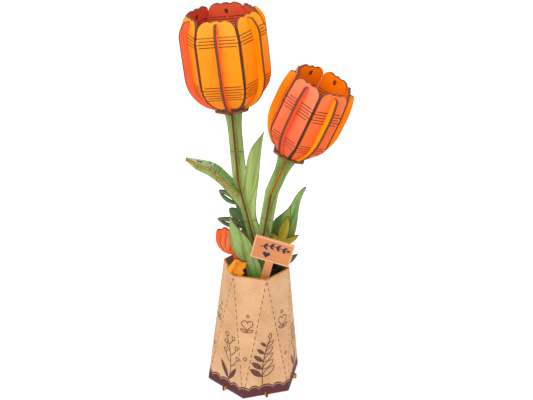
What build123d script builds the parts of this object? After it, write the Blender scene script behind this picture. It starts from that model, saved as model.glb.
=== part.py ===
from build123d import *
from math import atan2, cos, degrees, hypot, radians, sin, tan
from types import SimpleNamespace
import os

# A kit of two wooden tulips standing in a folded card vase, in millimetres.
# +Z is up, the front faces -Y, and the origin is the middle of the underside of the base plate.
# The flat plates of stems and leaves stand parallel to the front; the vase is turned a little under them.

# Sheet stock and fits
PLY = 2.0
CARD = 0.8
PLAY = 0.05
SLIDE_PLAY = 0.12
SEAM = 0.15
KINK_GAP = 0.3

# Card vase: a hexagonal sleeve of twelve triangular facets
VASE_BOTTOM_RADIUS = 40.0
VASE_TOP_RADIUS = 27.2
VASE_HEIGHT = 106.0
VASE_LIFT = 1.5
VASE_TURN = -4.3

# Frame inside the vase
FOOT_HEIGHT = 4.0
FOOT_REACH = 2.6
WALL_PLAY = 0.25
BASE_NOTCH_DEPTH = 9.0
RIB_WIDTH_BOTTOM = 13.0
RIB_WIDTH_TOP = 7.0
SOIL_NOTCH_DEPTH = 4.0
SOIL_DEPTH = 10.0
TAB_BELOW_SOIL = 2.0

# Stems: collar place in X and over the soil, lean from the vertical, and distances down from the collar
TALL_X = -21.3
TALL_RISE = 144.9
TALL_LEAN = -5.8
TALL_TIP = -2.0
LEFT_SEAM_UPPER = 37.0
LEFT_KINK = 62.1
LEFT_SEAM_LOWER = 97.8
LEFT_CROSS_END = 119.0
LEFT_FOOT_LEAN = -15.0
SMALL_X = 23.3
SMALL_RISE = 110.8
SMALL_LEAN = 20.0
SMALL_TIP = 1.2
RIGHT_KINK = 37.0
RIGHT_SEAM = 61.8
RIGHT_CROSS_END = 84.8
RIGHT_FOOT_LEAN = 7.6
STEM_HALF = 5.2
TALL_NECK_HALF = 6.9
SMALL_NECK_HALF = 8.0
NECK_LENGTH = 18.0
CROSS_HALF = 5.5
TENON_HALF = 3.0
TENON_PROUD = 1.0

# Root plate: the fork between the stems and the trunk under it; rises count from the soil
FORK_X = 1.2
FORK_RISE = 44.4
TRUNK_LEFT = -6.5
TRUNK_RIGHT = 10.0
TRUNK_RISE = 30.5
TRUNK_TENON = 4.0

# Both flowers
PETAL_COUNT = 6
PETAL_GAP = 0.1
KERF = 0.35
KERF_EDGE = 1.6
KERF_BRIDGE = 2.4
KERF_PITCH = 2.3
FIN_TAB = 3.4
FIN_TAB_SHORT = 0.6
FIN_TOP_ROUND = 2.4
FIN_FOOT = 2.8
FIN_FOOT_RISE = 0.3
FIN_INSET = 0.3
SCALLOP_RADIUS = 3.0
SCALLOP_DEPTH = 0.8
COLLAR_RADIUS = 14.4
COLLAR_CORNER = 1.2
UNDER_COLLAR_RADIUS = 8.7

# Tall tulip: heights count from the top of its collar, radii from its axis
TALL_PETAL_FOOT = 9.6
TALL_PETAL_LOW = 3.6
TALL_REACH = 28.5
TALL_LOWER_BEND_Z = 13.0
TALL_LOWER_BEND_RADIUS = 30.0
TALL_UPPER_REACH = 28.5
TALL_UPPER_BEND_Z = 59.5
TALL_UPPER_BEND_RADIUS = 27.0
TALL_TOP_RADIUS = 23.8
TALL_HEIGHT = 73.8
TALL_CORNER = 8.0
TALL_SCALLOP_PITCH = 7.0
TALL_FIN_DEPTH = 5.6
TALL_FIN_TOE_RADIUS = 15.0
TALL_FIN_TOE_Z = 0.9
TALL_FIN_BELLY_LOW = 30.0
TALL_FIN_BELLY_HIGH = 59.0
TALL_FIN_TOP_DEPTH = 3.6
TALL_FIN_TOP_Z = 71.8
TALL_LOWER_TAB_Z = 36.0
TALL_TAB_Z = 66.9
TALL_TURN = -88.5
TALL_COLLAR_TURN = 0.0
TALL_UPPER_ROWS = 4
TALL_LOWER_ROWS = 6
TALL_LOWER_SHIFT = 5.4

# Small tulip
SMALL_PETAL_FOOT = 11.3
SMALL_PETAL_LOW = 1.2
SMALL_REACH = 22.8
SMALL_LOWER_BEND_Z = 15.6
SMALL_LOWER_BEND_RADIUS = 20.0
SMALL_UPPER_REACH = 22.8
SMALL_UPPER_BEND_Z = 45.1
SMALL_UPPER_BEND_RADIUS = 48.0
SMALL_TOP_RADIUS = 21.3
SMALL_HEIGHT = 65.2
SMALL_CORNER = 6.5
SMALL_SCALLOP_PITCH = 5.2
SMALL_FIN_DEPTH = 5.6
SMALL_FIN_TOE_RADIUS = 16.5
SMALL_FIN_TOE_Z = 2.6
SMALL_FIN_BELLY_LOW = 31.6
SMALL_FIN_BELLY_HIGH = 42.6
SMALL_FIN_TOP_DEPTH = 4.0
SMALL_FIN_TOP_Z = 62.2
SMALL_LOWER_TAB_Z = 29.0
SMALL_TAB_Z = 59.6
SMALL_TURN = -57.2
SMALL_COLLAR_TURN = 30.0
SMALL_UPPER_ROWS = 5
SMALL_LOWER_ROWS = 4
SMALL_LOWER_SHIFT = 0.0

# Middle left stem plate: points of the tall leaf and of the keel, counted from the kink of the stem in X and Z
LEAF_NOTCH = (4.5, 10.6)
LEAF_LEFT_LOW = (5.9, 19.6)
LEAF_LEFT_MIDDLE = (8.7, 28.9)
LEAF_LEFT_HIGH = (13.2, 36.0)
LEAF_TIP = (18.2, 44.0)
LEAF_RIGHT_HIGH = (16.2, 26.5)
LEAF_RIGHT_MIDDLE = (14.4, -4.5)
LEAF_RIGHT_LOW = (13.2, -22.5)
KEEL_END = (-37.8, 9.4)
KEEL_SHOULDER = (-34.8, 7.0)
KEEL_MIDDLE = (-26.3, 3.2)
KEEL_LOW = (-12.2, -7.9)
KEEL_FOOT = 29.5

# Left leaf: a kerf-bent blade on the keel; points of its top along the middle, from the kink in X and Z
BLADE_ROOT = (0.7, -9.2)
BLADE_BEND = (-19.6, 10.6)
BLADE_TIP = (-42.6, 16.0)
BLADE_BEND_RADIUS = 22.0
BLADE_HALF = 7.5
BLADE_BEND_HALF = 6.5
BLADE_OUTER_HALF = 4.2
BLADE_TIP_HALF = 0.5
BLADE_ROOT_HALF = 7.2
BLADE_ROWS = 5
KEEL_TAB_X = -32.3
KEEL_TAB = 4.0

# Planted pieces: depth in Y of each plate and place of its tab in X
FRONT_LEAF_DEPTH = -13.0
RIGHT_LEAF_DEPTH = 10.0
DARK_SPRIG_CLEARANCE = 0.7
DARK_SPRIG_DEPTH = BLADE_HALF + PLY / 2 + DARK_SPRIG_CLEARANCE
OLIVE_SPRIG_DEPTH = 4.5
LOW_LEAF_DEPTH = -5.5
BUD_DEPTH = -5.0
BLOSSOM_DEPTH = -20.4
FRONT_LEAF_TAB_X = -0.5
RIGHT_LEAF_TAB_X = 14.5
DARK_SPRIG_TAB_X = -7.0
OLIVE_SPRIG_TAB_X = 16.5
LOW_LEAF_TAB_X = 17.5
BUD_TAB_X = -15.0
BLOSSOM_TAB_X = -9.5
PLANT_TAB = 5.0
PLANT_SHOULDER = 1.0
PLANT_FOOT = 3.0
STALK = 4.0

# Outlines of the planted pieces: X from the tab, Z from the top of the soil board
FRONT_LEAF_TIP = (-19.7, 58.5)
FRONT_LEAF_LEFT = [(-5.5, 0), (-7.3, 14.5), (-16.5, 27.5), (-19.9, 43.5)]
FRONT_LEAF_RIGHT = [(5.7, 0), (6.1, 14.5), (2.7, 23.5), (-4.0, 38.5), (-13.0, 48.0)]
RIGHT_LEAF_TIP = (23.6, 79.4)
RIGHT_LEAF_LEFT = [(-4.0, 0), (-4.8, 24.5), (-2.6, 45.0), (7.5, 56.1), (13.1, 67.0)]
RIGHT_LEAF_RIGHT = [(4.0, 0), (3.8, 11.0), (11.0, 24.5), (15.4, 38.5), (16.9, 57.5), (18.6, 67.2)]
LEAF_TIP_ROUND = 0.8
DARK_SPRIG_STALK = [(0, 0), (-2.0, 19.5), (-7.5, 46.5), (-10.5, 58.5)]
DARK_SPRIG_UPPER = [(-9.5, 57.5), (-26.0, 68.5)]
DARK_SPRIG_MIDDLE = [(-6.0, 44.0), (-17.5, 53.0)]
DARK_SPRIG_LOWER = [(-4.5, 37.5), (-27.0, 42.7)]
DARK_LEAF_WIDTH = 8.4
OPEN_LEAF_WIDTH = 2.0
OPEN_LEAF_DROP = 0.4
OPEN_LEAF_START = 0.2
OPEN_LEAF_END = 0.84
OLIVE_SPRIG_STALK = [(0, 0), (0.5, 12.5), (3.0, 29.5)]
OLIVE_SPRIG_TOP = [(1.5, 24.5), (7.2, 53.1)]
OLIVE_SPRIG_LEFT = [(3.5, 27.0), (-6.9, 37.1)]
OLIVE_SPRIG_RIGHT = [(0.5, 25.0), (16.3, 36.7)]
OLIVE_TOP_WIDTH = 7.6
OLIVE_SIDE_WIDTH = 5.2
LOW_LEAF_STALK = [(0, 0), (2.0, 10.5), (6.0, 15.5)]
LOW_LEAF_BLADE = [(2.5, 11.5), (16.2, 25.3)]
LOW_LEAF_WIDTH = 4.4
BUD_CUP = [(-17.4, 38.0), (-17.6, 32.0), (-15.2, 25.0), (-10.0, 20.5), (-3.5, 19.7), (-0.4, 23.5), (-0.2, 31.5)]
BUD_SCALLOPS = [
    [(-17.4, 38.0), (-15.6, 40.9), (-13.4, 40.7)],
    [(-13.4, 40.7), (-10.4, 42.9), (-7.6, 40.9)],
    [(-7.6, 40.9), (-4.4, 41.4), (-3.0, 38.5)],
    [(-3.0, 38.5), (-1.2, 35.5), (-0.2, 31.5)],
]
BUD_STALK = [(0, 0), (-0.5, 12.0), (-2.0, 24.0)]
BLOSSOM_LEFT = [(-2.5, 10.4), (-9.1, 10.6), (-11.7, 15.9), (-7.9, 19.7), (-5.1, 24.3)]
BLOSSOM_RIGHT = [(-1.7, 24.7), (0.7, 22.3), (4.7, 22.9), (3.9, 17.9), (1.3, 15.1), (3.1, 11.5)]
BLOSSOM_STALK = [(0, 0), (-0.5, 8.5), (-1.5, 14.5)]
BLOSSOM_ROUND = 0.9

# Sign: middle of its board in X and over the soil, depth, sizes and lean
SIGN_X = 14.5
SIGN_RISE = 31.75
SIGN_DEPTH = -15.4
SIGN_WIDTH = 32.0
SIGN_HEIGHT = 20.0
SIGN_CORNER = 0.8
SIGN_LEAN = 12.5
STAKE_WIDTH = 6.5

# Heights that follow from the values above
WALL_TOP = VASE_LIFT + VASE_HEIGHT
SOIL_TOP = WALL_TOP - SOIL_DEPTH
SOIL_BOTTOM = SOIL_TOP - PLY
TAB_END = SOIL_BOTTOM - TAB_BELOW_SOIL
TALL_Z = SOIL_TOP + TALL_RISE
SMALL_Z = SOIL_TOP + SMALL_RISE
FORK_Z = SOIL_TOP + FORK_RISE
TRUNK_TOP = SOIL_TOP + TRUNK_RISE
SIGN_Z = SOIL_TOP + SIGN_RISE
SIDE_ANGLE = 180.0 / PETAL_COUNT

left_stem = SimpleNamespace(
    top=(TALL_X, TALL_Z),
    lean=TALL_LEAN,
    kink=LEFT_KINK,
    foot_lean=LEFT_FOOT_LEAN,
    neck_half=TALL_NECK_HALF,
)
right_stem = SimpleNamespace(
    top=(SMALL_X, SMALL_Z),
    lean=SMALL_LEAN,
    kink=RIGHT_KINK,
    foot_lean=RIGHT_FOOT_LEAN,
    neck_half=SMALL_NECK_HALF,
)
tall = SimpleNamespace(
    stem=left_stem,
    tip=TALL_TIP,
    foot=TALL_PETAL_FOOT,
    low=TALL_PETAL_LOW,
    reach=TALL_REACH,
    lower_z=TALL_LOWER_BEND_Z,
    lower_bend=TALL_LOWER_BEND_RADIUS,
    upper_reach=TALL_UPPER_REACH,
    upper_z=TALL_UPPER_BEND_Z,
    upper_bend=TALL_UPPER_BEND_RADIUS,
    top_radius=TALL_TOP_RADIUS,
    height=TALL_HEIGHT,
    corner=TALL_CORNER,
    scallop_pitch=TALL_SCALLOP_PITCH,
    fin_depth=TALL_FIN_DEPTH,
    fin_toe=(TALL_FIN_TOE_RADIUS, TALL_FIN_TOE_Z),
    fin_low=TALL_FIN_BELLY_LOW,
    fin_high=TALL_FIN_BELLY_HIGH,
    fin_top_depth=TALL_FIN_TOP_DEPTH,
    fin_top_z=TALL_FIN_TOP_Z,
    tabs=(TALL_LOWER_TAB_Z, TALL_TAB_Z),
    turn=TALL_TURN,
    collar_turn=TALL_COLLAR_TURN,
    upper_rows=TALL_UPPER_ROWS,
    lower_rows=TALL_LOWER_ROWS,
    lower_shift=TALL_LOWER_SHIFT,
)
small = SimpleNamespace(
    stem=right_stem,
    tip=SMALL_TIP,
    foot=SMALL_PETAL_FOOT,
    low=SMALL_PETAL_LOW,
    reach=SMALL_REACH,
    lower_z=SMALL_LOWER_BEND_Z,
    lower_bend=SMALL_LOWER_BEND_RADIUS,
    upper_reach=SMALL_UPPER_REACH,
    upper_z=SMALL_UPPER_BEND_Z,
    upper_bend=SMALL_UPPER_BEND_RADIUS,
    top_radius=SMALL_TOP_RADIUS,
    height=SMALL_HEIGHT,
    corner=SMALL_CORNER,
    scallop_pitch=SMALL_SCALLOP_PITCH,
    fin_depth=SMALL_FIN_DEPTH,
    fin_toe=(SMALL_FIN_TOE_RADIUS, SMALL_FIN_TOE_Z),
    fin_low=SMALL_FIN_BELLY_LOW,
    fin_high=SMALL_FIN_BELLY_HIGH,
    fin_top_depth=SMALL_FIN_TOP_DEPTH,
    fin_top_z=SMALL_FIN_TOP_Z,
    tabs=(SMALL_LOWER_TAB_Z, SMALL_TAB_Z),
    turn=SMALL_TURN,
    collar_turn=SMALL_COLLAR_TURN,
    upper_rows=SMALL_UPPER_ROWS,
    lower_rows=SMALL_LOWER_ROWS,
    lower_shift=SMALL_LOWER_SHIFT,
)


def polar(radius, angle):
    """A point in the plane from its distance and its angle in degrees."""
    return (radius * cos(radians(angle)), radius * sin(radians(angle)))


def polygon_face(points):
    """A flat face with straight sides."""
    return make_face(Polyline(*points, close=True))


def shifted(line, amount):
    """The corners of a polyline moved sideways by an amount, to the right of its direction."""
    moved = []
    for first, second in zip(line[:-1], line[1:]):
        length = hypot(second[0] - first[0], second[1] - first[1])
        across = ((second[1] - first[1]) / length, -(second[0] - first[0]) / length)
        moved.append([(p[0] + amount * across[0], p[1] + amount * across[1]) for p in (first, second)])
    corners = [moved[0][0]]
    for one, two in zip(moved[:-1], moved[1:]):
        corners.append(crossing(one, two))
    corners.append(moved[-1][1])
    return corners


def crossing(one, two):
    """The point where two straight lines meet."""
    (ax, ay), (bx, by) = one
    (cx, cy), (dx, dy) = two
    turn = (bx - ax) * (dy - cy) - (by - ay) * (dx - cx)
    share = ((cx - ax) * (dy - cy) - (cy - ay) * (dx - cx)) / turn
    return (ax + share * (bx - ax), ay + share * (by - ay))


def bent_band(line, radii, thickness):
    """The face of a bent plate: a line of straight runs and arcs, and its copy one thickness to the left.

    The bends turn to the left, so the copy has the smaller radii.
    """
    outer = FilletPolyline(*line, radius=radii)
    inner_points = shifted(line, -thickness)
    inner = FilletPolyline(*inner_points, radius=[r - thickness for r in radii])
    ends = [Line(line[0], inner_points[0]), Line(line[-1], inner_points[-1])]
    return make_face([*outer.edges(), *inner.edges(), *ends])


def bend_cuts(line, radius, rows, half_width, first_at_edge, shift=0.0):
    """The rows of thin slits that let a plate bend, square to the surface of one bend that turns left.

    Rows take turns: one is cut in from both edges and leaves a bridge in the middle, the next keeps its edges.
    half_width gives half the plate's width for a distance of its inside from the axis, and shift is how far
    along the bend the rows' middle lies from the bend's own.
    """
    before, corner, after = line
    arrive = atan2(corner[1] - before[1], corner[0] - before[0])
    leave = atan2(after[1] - corner[1], after[0] - corner[0])
    heading = (arrive + leave) / 2
    inward = heading + radians(90)
    to_centre = radius / cos((leave - arrive) / 2)
    centre = (corner[0] + to_centre * cos(inward), corner[1] + to_centre * sin(inward))
    cuts = []
    for row in range(rows):
        outward = heading - radians(90) + ((row - (rows - 1) / 2) * KERF_PITCH + shift) / radius
        half = half_width(centre[0] + (radius - PLY) * cos(outward))
        middle = radius - PLY / 2
        spot = (centre[0] + middle * cos(outward), centre[1] + middle * sin(outward))
        place = Pos(spot[0], 0, spot[1]) * Rot(0, -degrees(outward), 0)
        if (row % 2 == 0) == first_at_edge:
            length = half - KERF_BRIDGE / 2 + KERF_EDGE
            for side in (-1, 1):
                aside = side * (KERF_BRIDGE / 2 + length / 2)
                cuts.append(place * Pos(0, aside, 0) * Box(2 * PLY, length, KERF))
        else:
            cuts.append(place * Box(2 * PLY, 2 * (half - KERF_EDGE), KERF))
    return cuts


def upright_plate(outline, depth):
    """A plate parallel to the front, cut to an outline in X and Z, with its middle at a depth in Y."""
    return extrude(Plane.XZ.offset(-depth - PLY / 2) * outline, amount=PLY)


def wall_corner(share, index):
    """A corner of the vase wall's section, between its bottom corners at 0 and its top corners at 1."""
    bottom = polar(VASE_BOTTOM_RADIUS, -90 + 60 * (index // 2) + VASE_TURN)
    top = polar(VASE_TOP_RADIUS, -120 + 60 * ((index + 1) // 2) + VASE_TURN)
    return (bottom[0] + share * (top[0] - bottom[0]), bottom[1] + share * (top[1] - bottom[1]))


def wall_section(height, inset):
    """The twelve-sided outline of the vase wall at a height, drawn in by an inset."""
    share = (height - VASE_LIFT) / VASE_HEIGHT
    points = [wall_corner(share, index) for index in range(12)]
    scale = 1 - inset / min(hypot(*p) for p in points)
    return [(scale * x, scale * y) for x, y in points]


def wall_radius(height):
    """The distance from the axis to the outside of the wall, over the middle of a bottom edge."""
    share = (height - VASE_LIFT) / VASE_HEIGHT
    bottom = VASE_BOTTOM_RADIUS * cos(radians(30))
    return bottom + share * (VASE_TOP_RADIUS - bottom)


def faceted_body(bottom_radius, top_radius):
    """A closed body between two hexagons, the upper one turned by half a side."""
    low = [(*polar(bottom_radius, -90 + 60 * k + VASE_TURN), VASE_LIFT) for k in range(6)]
    high = [(*polar(top_radius, -120 + 60 * k + VASE_TURN), WALL_TOP) for k in range(6)]
    rings = [low, high]
    for k in range(6):
        rings.append([high[k], high[(k + 1) % 6], low[k]])
        rings.append([low[k], low[(k + 1) % 6], high[(k + 1) % 6]])
    return Solid(Shell([Face(Wire.make_polygon([Vector(*p) for p in ring])) for ring in rings]))


def make_vase_wrap():
    """The card sleeve, open at both ends, with a notch in each bottom edge for a foot."""
    inset = CARD / cos(radians(30))
    sleeve = faceted_body(VASE_BOTTOM_RADIUS, VASE_TOP_RADIUS)
    sleeve -= faceted_body(VASE_BOTTOM_RADIUS - inset, VASE_TOP_RADIUS - inset)
    notch_height = FOOT_HEIGHT + WALL_PLAY
    notch = Pos(wall_radius(VASE_LIFT), 0, notch_height / 2) * Box(
        10 * CARD, PLY + 2 * WALL_PLAY, notch_height
    )
    return sleeve - [Rot(0, 0, -60 + 60 * k + VASE_TURN) * notch for k in range(6)]


def notched_plate(outline, bottom, reach, depth):
    """A level plate with six notches in its edge for the ribs, each going in by a depth from a reach."""
    plate = extrude(Pos(0, 0, bottom) * polygon_face(outline), amount=PLY)
    notch = Pos(reach, 0, bottom + PLY / 2) * Box(2 * depth, PLY + 2 * PLAY, 2 * PLY)
    return plate - [Rot(0, 0, -60 + 60 * k + VASE_TURN) * notch for k in range(6)]


def rib_reach(height):
    """How far a rib comes out from the axis at a height, just inside the card."""
    return wall_radius(height) - CARD / cos(radians(30)) - WALL_PLAY


BASE_NOTCH = rib_reach(VASE_LIFT) - BASE_NOTCH_DEPTH
SOIL_NOTCH = rib_reach(SOIL_TOP) - SOIL_NOTCH_DEPTH


def make_rib(index):
    """An upright rib under one facet; its foot comes out through the card and stands on the table."""
    outline = [
        (BASE_NOTCH + PLAY, 0),
        (wall_radius(VASE_LIFT) + FOOT_REACH, 0),
        (wall_radius(FOOT_HEIGHT) + FOOT_REACH, FOOT_HEIGHT),
        (rib_reach(FOOT_HEIGHT), FOOT_HEIGHT),
        (rib_reach(SOIL_TOP), SOIL_TOP),
        (SOIL_NOTCH + PLAY, SOIL_TOP),
        (SOIL_NOTCH + PLAY, SOIL_BOTTOM),
        (rib_reach(SOIL_BOTTOM) - RIB_WIDTH_TOP, SOIL_BOTTOM),
        (rib_reach(PLY) - RIB_WIDTH_BOTTOM, PLY),
        (BASE_NOTCH + PLAY, PLY),
    ]
    rib = upright_plate(polygon_face(outline), 0)
    return Rot(0, 0, -60 + 60 * index + VASE_TURN) * rib


def make_base_plate():
    """The hexagonal bottom board, with notches for the ribs and two sockets for the root plate."""
    plate = notched_plate(
        wall_section(VASE_LIFT + PLY, CARD + 2 * WALL_PLAY), 0, BASE_NOTCH + BASE_NOTCH_DEPTH, BASE_NOTCH_DEPTH
    )
    socket = Box(TRUNK_TENON + 2 * PLAY, PLY + 2 * PLAY, 4 * PLY)
    return plate - [Pos(x, 0, 0) * socket for x in trunk_tenons()]


def trunk_tenons():
    """The two tenons under the trunk, in X."""
    return (TRUNK_LEFT + TRUNK_TENON / 2, TRUNK_RIGHT - TRUNK_TENON / 2)


def make_soil_plate():
    """The dark board near the rim that everything is planted in."""
    plate = notched_plate(
        wall_section(SOIL_TOP, CARD + 2 * WALL_PLAY), SOIL_BOTTOM, SOIL_NOTCH + SOIL_NOTCH_DEPTH, SOIL_NOTCH_DEPTH
    )
    tabs = [
        (FRONT_LEAF_TAB_X, FRONT_LEAF_DEPTH),
        (RIGHT_LEAF_TAB_X, RIGHT_LEAF_DEPTH),
        (DARK_SPRIG_TAB_X, DARK_SPRIG_DEPTH),
        (OLIVE_SPRIG_TAB_X, OLIVE_SPRIG_DEPTH),
        (LOW_LEAF_TAB_X, LOW_LEAF_DEPTH),
        (BUD_TAB_X, BUD_DEPTH),
        (BLOSSOM_TAB_X, BLOSSOM_DEPTH),
    ]
    slot = Box(PLANT_TAB + 2 * PLAY, PLY + 2 * PLAY, 4 * PLY)
    plate -= [Pos(x, y, SOIL_TOP) * slot for x, y in tabs]
    trunk_width = TRUNK_RIGHT - TRUNK_LEFT
    trunk_x = (TRUNK_LEFT + TRUNK_RIGHT) / 2
    plate -= Pos(trunk_x, 0, SOIL_TOP) * Box(trunk_width + 2 * PLAY, PLY + 2 * PLAY, 4 * PLY)
    stake_slot = Box(STAKE_WIDTH + 2 * SLIDE_PLAY, PLY + 2 * SLIDE_PLAY, 6 * PLY)
    return plate - sign_place() * Pos(0, 0, stake_depth(SOIL_TOP)) * stake_slot


def stem_lean(stem, distance):
    """The lean of a stem's centre line at a distance down from its collar."""
    return stem.lean if distance <= stem.kink else stem.foot_lean


def stem_point(stem, distance, side=0.0):
    """A point on a stem in X and Z: a distance down from the collar, a step to the right of the centre line."""
    upper = min(distance, stem.kink)
    lower = max(distance - stem.kink, 0.0)
    lean = radians(stem.lean)
    foot = radians(stem.foot_lean)
    across = radians(stem_lean(stem, distance))
    x = stem.top[0] - upper * sin(lean) - lower * sin(foot) + side * cos(across)
    z = stem.top[1] - upper * cos(lean) - lower * cos(foot) - side * sin(across)
    return (x, z)


def stem_block(stem, start, end, width, depth):
    """A straight block along one run of a stem, between two distances down from the collar."""
    x, z = stem_point(stem, (start + end) / 2)
    lean = stem_lean(stem, (start + end) / 2)
    return Pos(x, 0, z) * Rot(0, lean, 0) * Box(width, depth, end - start)


def main_slot(stem, start, end):
    """A slot in a front plate that lets a cross plate in."""
    return stem_block(stem, start, end, PLY + 2 * PLAY, 4 * PLY)


def cross_slot(stem, start, end):
    """A slot in a cross plate that lets a front plate in."""
    return stem_block(stem, start, end, 4 * PLY, PLY + 2 * PLAY)


def halfway(start, end):
    """The distance at which two halved plates meet."""
    return (start + end) / 2


SHOULDER = 2 * PLY
LEFT_HALF_1 = halfway(SHOULDER, LEFT_SEAM_UPPER)
LEFT_HALF_2 = halfway(LEFT_SEAM_UPPER, LEFT_KINK)
LEFT_HALF_3 = halfway(LEFT_KINK, LEFT_SEAM_LOWER)
LEFT_HALF_4 = halfway(LEFT_SEAM_LOWER, LEFT_CROSS_END)
RIGHT_HALF_1 = halfway(SHOULDER, RIGHT_KINK)
RIGHT_HALF_2 = halfway(RIGHT_KINK, RIGHT_SEAM)
RIGHT_HALF_3 = halfway(RIGHT_SEAM, RIGHT_CROSS_END)
OPEN_END = 2 * PLY


def kink_point(stem, side):
    """The mitred corner of a stem's edge at its kink, on the right for a positive side."""
    x, z = stem_point(stem, stem.kink)
    mean = radians((stem.lean + stem.foot_lean) / 2)
    reach = side / cos(radians(stem.lean - stem.foot_lean) / 2)
    return (x + reach * cos(mean), z - reach * sin(mean))


def neck_face(stem, end):
    """The top of a front stem plate: its tenon, its shoulder, the flare and the straight runs to its end."""
    tenon = [(-TENON_PROUD, -TENON_HALF), (-TENON_PROUD, TENON_HALF)]
    tenon += [(SHOULDER, TENON_HALF), (SHOULDER, -TENON_HALF)]
    face = polygon_face([stem_point(stem, distance, side) for distance, side in tenon])
    edges = []
    ends = []
    for side in (-1, 1):
        flare = [
            stem_point(stem, SHOULDER, side * stem.neck_half),
            stem_point(stem, SHOULDER + NECK_LENGTH / 2, side * (STEM_HALF + (stem.neck_half - STEM_HALF) / 4)),
            stem_point(stem, SHOULDER + NECK_LENGTH, side * STEM_HALF),
        ]
        runs = [flare[-1], stem_point(stem, end, side * STEM_HALF)]
        if end > stem.kink:
            runs.insert(1, kink_point(stem, side * STEM_HALF))
        edges += [Spline(*flare), *Polyline(*runs).edges()]
        ends.append((flare[0], runs[-1]))
    edges += [Line(ends[0][0], ends[1][0]), Line(ends[0][1], ends[1][1])]
    return face + make_face(edges)


def make_cross(stem, start, end, slots, tenon):
    """A cross plate along one run of a stem, slotted where the front plates pass, with or without a tenon."""
    plate = stem_block(stem, start, end, PLY, 2 * CROSS_HALF)
    if tenon:
        plate += stem_block(stem, -TENON_PROUD, start + PLY, PLY, 2 * TENON_HALF)
    return plate - [cross_slot(stem, first, last) for first, last in slots]


def make_left_stem_upper():
    """The top front plate of the left stem."""
    plate = upright_plate(neck_face(left_stem, LEFT_SEAM_UPPER - SEAM / 2), 0)
    return plate - main_slot(left_stem, LEFT_HALF_1 - PLAY, LEFT_SEAM_UPPER + OPEN_END)


def from_kink(offset):
    """A point in X and Z given from the kink of the left stem."""
    x, z = stem_point(left_stem, LEFT_KINK)
    return (x + offset[0], z + offset[1])


def blade_line(drop):
    """The middle of the left leaf's blade from its root to its tip, a drop under its top."""
    return shifted([from_kink(offset) for offset in (BLADE_ROOT, BLADE_BEND, BLADE_TIP)], -drop)


def keel_tab_place():
    """Where the keel's tab comes through the blade: a point on the blade's underside and the slope there."""
    root, bend, tip = blade_line(PLY)
    x = from_kink((KEEL_TAB_X, 0))[0]
    slope = atan2(bend[1] - tip[1], bend[0] - tip[0])
    return ((x, bend[1] + (x - bend[0]) * tan(slope)), degrees(slope))


def make_left_stem_middle():
    """The middle front plate of the left stem, cut in one with the tall leaf and the keel of the left leaf."""
    seam = [stem_point(left_stem, LEFT_SEAM_UPPER + SEAM / 2, side * STEM_HALF) for side in (-1, 1)]
    foot = [stem_point(left_stem, LEFT_SEAM_LOWER - SEAM / 2, side * STEM_HALF) for side in (-1, 1)]
    leaf_left = [LEAF_NOTCH, LEAF_LEFT_LOW, LEAF_LEFT_MIDDLE, LEAF_LEFT_HIGH, LEAF_TIP]
    leaf_right = [LEAF_TIP, LEAF_RIGHT_HIGH, LEAF_RIGHT_MIDDLE, LEAF_RIGHT_LOW]
    stem_edges = [
        Line(seam[0], seam[1]),
        Line(seam[1], from_kink(LEAF_NOTCH)),
        Spline(*[from_kink(offset) for offset in leaf_left]),
        Spline(*[from_kink(offset) for offset in leaf_right], foot[1]),
        Line(foot[1], foot[0]),
        *Polyline(foot[0], kink_point(left_stem, -STEM_HALF), seam[0]).edges(),
    ]
    under = blade_line(PLY + PLAY)
    keel_top = FilletPolyline(*under, radius=BLADE_BEND_RADIUS - PLY - PLAY)
    keel_foot = stem_point(left_stem, LEFT_KINK + KEEL_FOOT, -STEM_HALF / 2)
    keel_side = [KEEL_END, KEEL_SHOULDER, KEEL_MIDDLE, KEEL_LOW]
    keel_edges = [
        *keel_top.edges(),
        Line(under[-1], from_kink(KEEL_END)),
        Spline(*[from_kink(offset) for offset in keel_side], keel_foot),
        Line(keel_foot, under[0]),
    ]
    place, slope = keel_tab_place()
    tab = Pos(*place) * Rot(0, 0, slope) * Rectangle(KEEL_TAB, 2 * PLY)
    plate = upright_plate(make_face(stem_edges) + (make_face(keel_edges) + tab), 0)
    plate -= main_slot(left_stem, LEFT_SEAM_UPPER - OPEN_END, LEFT_HALF_2 + PLAY)
    return plate - main_slot(left_stem, LEFT_HALF_3 - PLAY, LEFT_SEAM_LOWER + OPEN_END)


def make_left_leaf_blade():
    """The bent blade of the left leaf, split at its root to straddle the stem, with a slot for the keel's tab."""
    line = blade_line(0)
    root, bend, tip = line
    band = extrude(Plane.XZ * bent_band(line, [BLADE_BEND_RADIUS], PLY), amount=BLADE_HALF, both=True)
    edges = []
    for side in (-1, 1):
        edges.append(
            Spline(
                (tip[0], side * BLADE_TIP_HALF),
                ((tip[0] + bend[0]) / 2, side * BLADE_OUTER_HALF),
                (bend[0], side * BLADE_BEND_HALF),
                (root[0] + PLY, side * BLADE_ROOT_HALF),
            )
        )
    edges += [Line(edges[0] @ 0, edges[1] @ 0), Line(edges[0] @ 1, edges[1] @ 1)]
    blade = band & extrude(make_face(edges), amount=2 * tip[1])
    slot_end = kink_point(left_stem, -STEM_HALF)[0] - PLAY
    slot_length = root[0] + 2 * PLY - slot_end
    slot = Pos(slot_end + slot_length / 2, 0, bend[1]) * Box(slot_length, PLY + 2 * PLAY, 2 * bend[1])
    place, slope = keel_tab_place()
    tab_slot = Box(KEEL_TAB + 2 * PLAY, PLY + 2 * PLAY, 4 * PLY)
    tab_slot = Pos(place[0], 0, place[1]) * Rot(0, -slope, 0) * tab_slot
    cuts = bend_cuts(line, BLADE_BEND_RADIUS, BLADE_ROWS, lambda inside: BLADE_BEND_HALF, False)
    return blade - [slot, tab_slot, *cuts]


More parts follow.
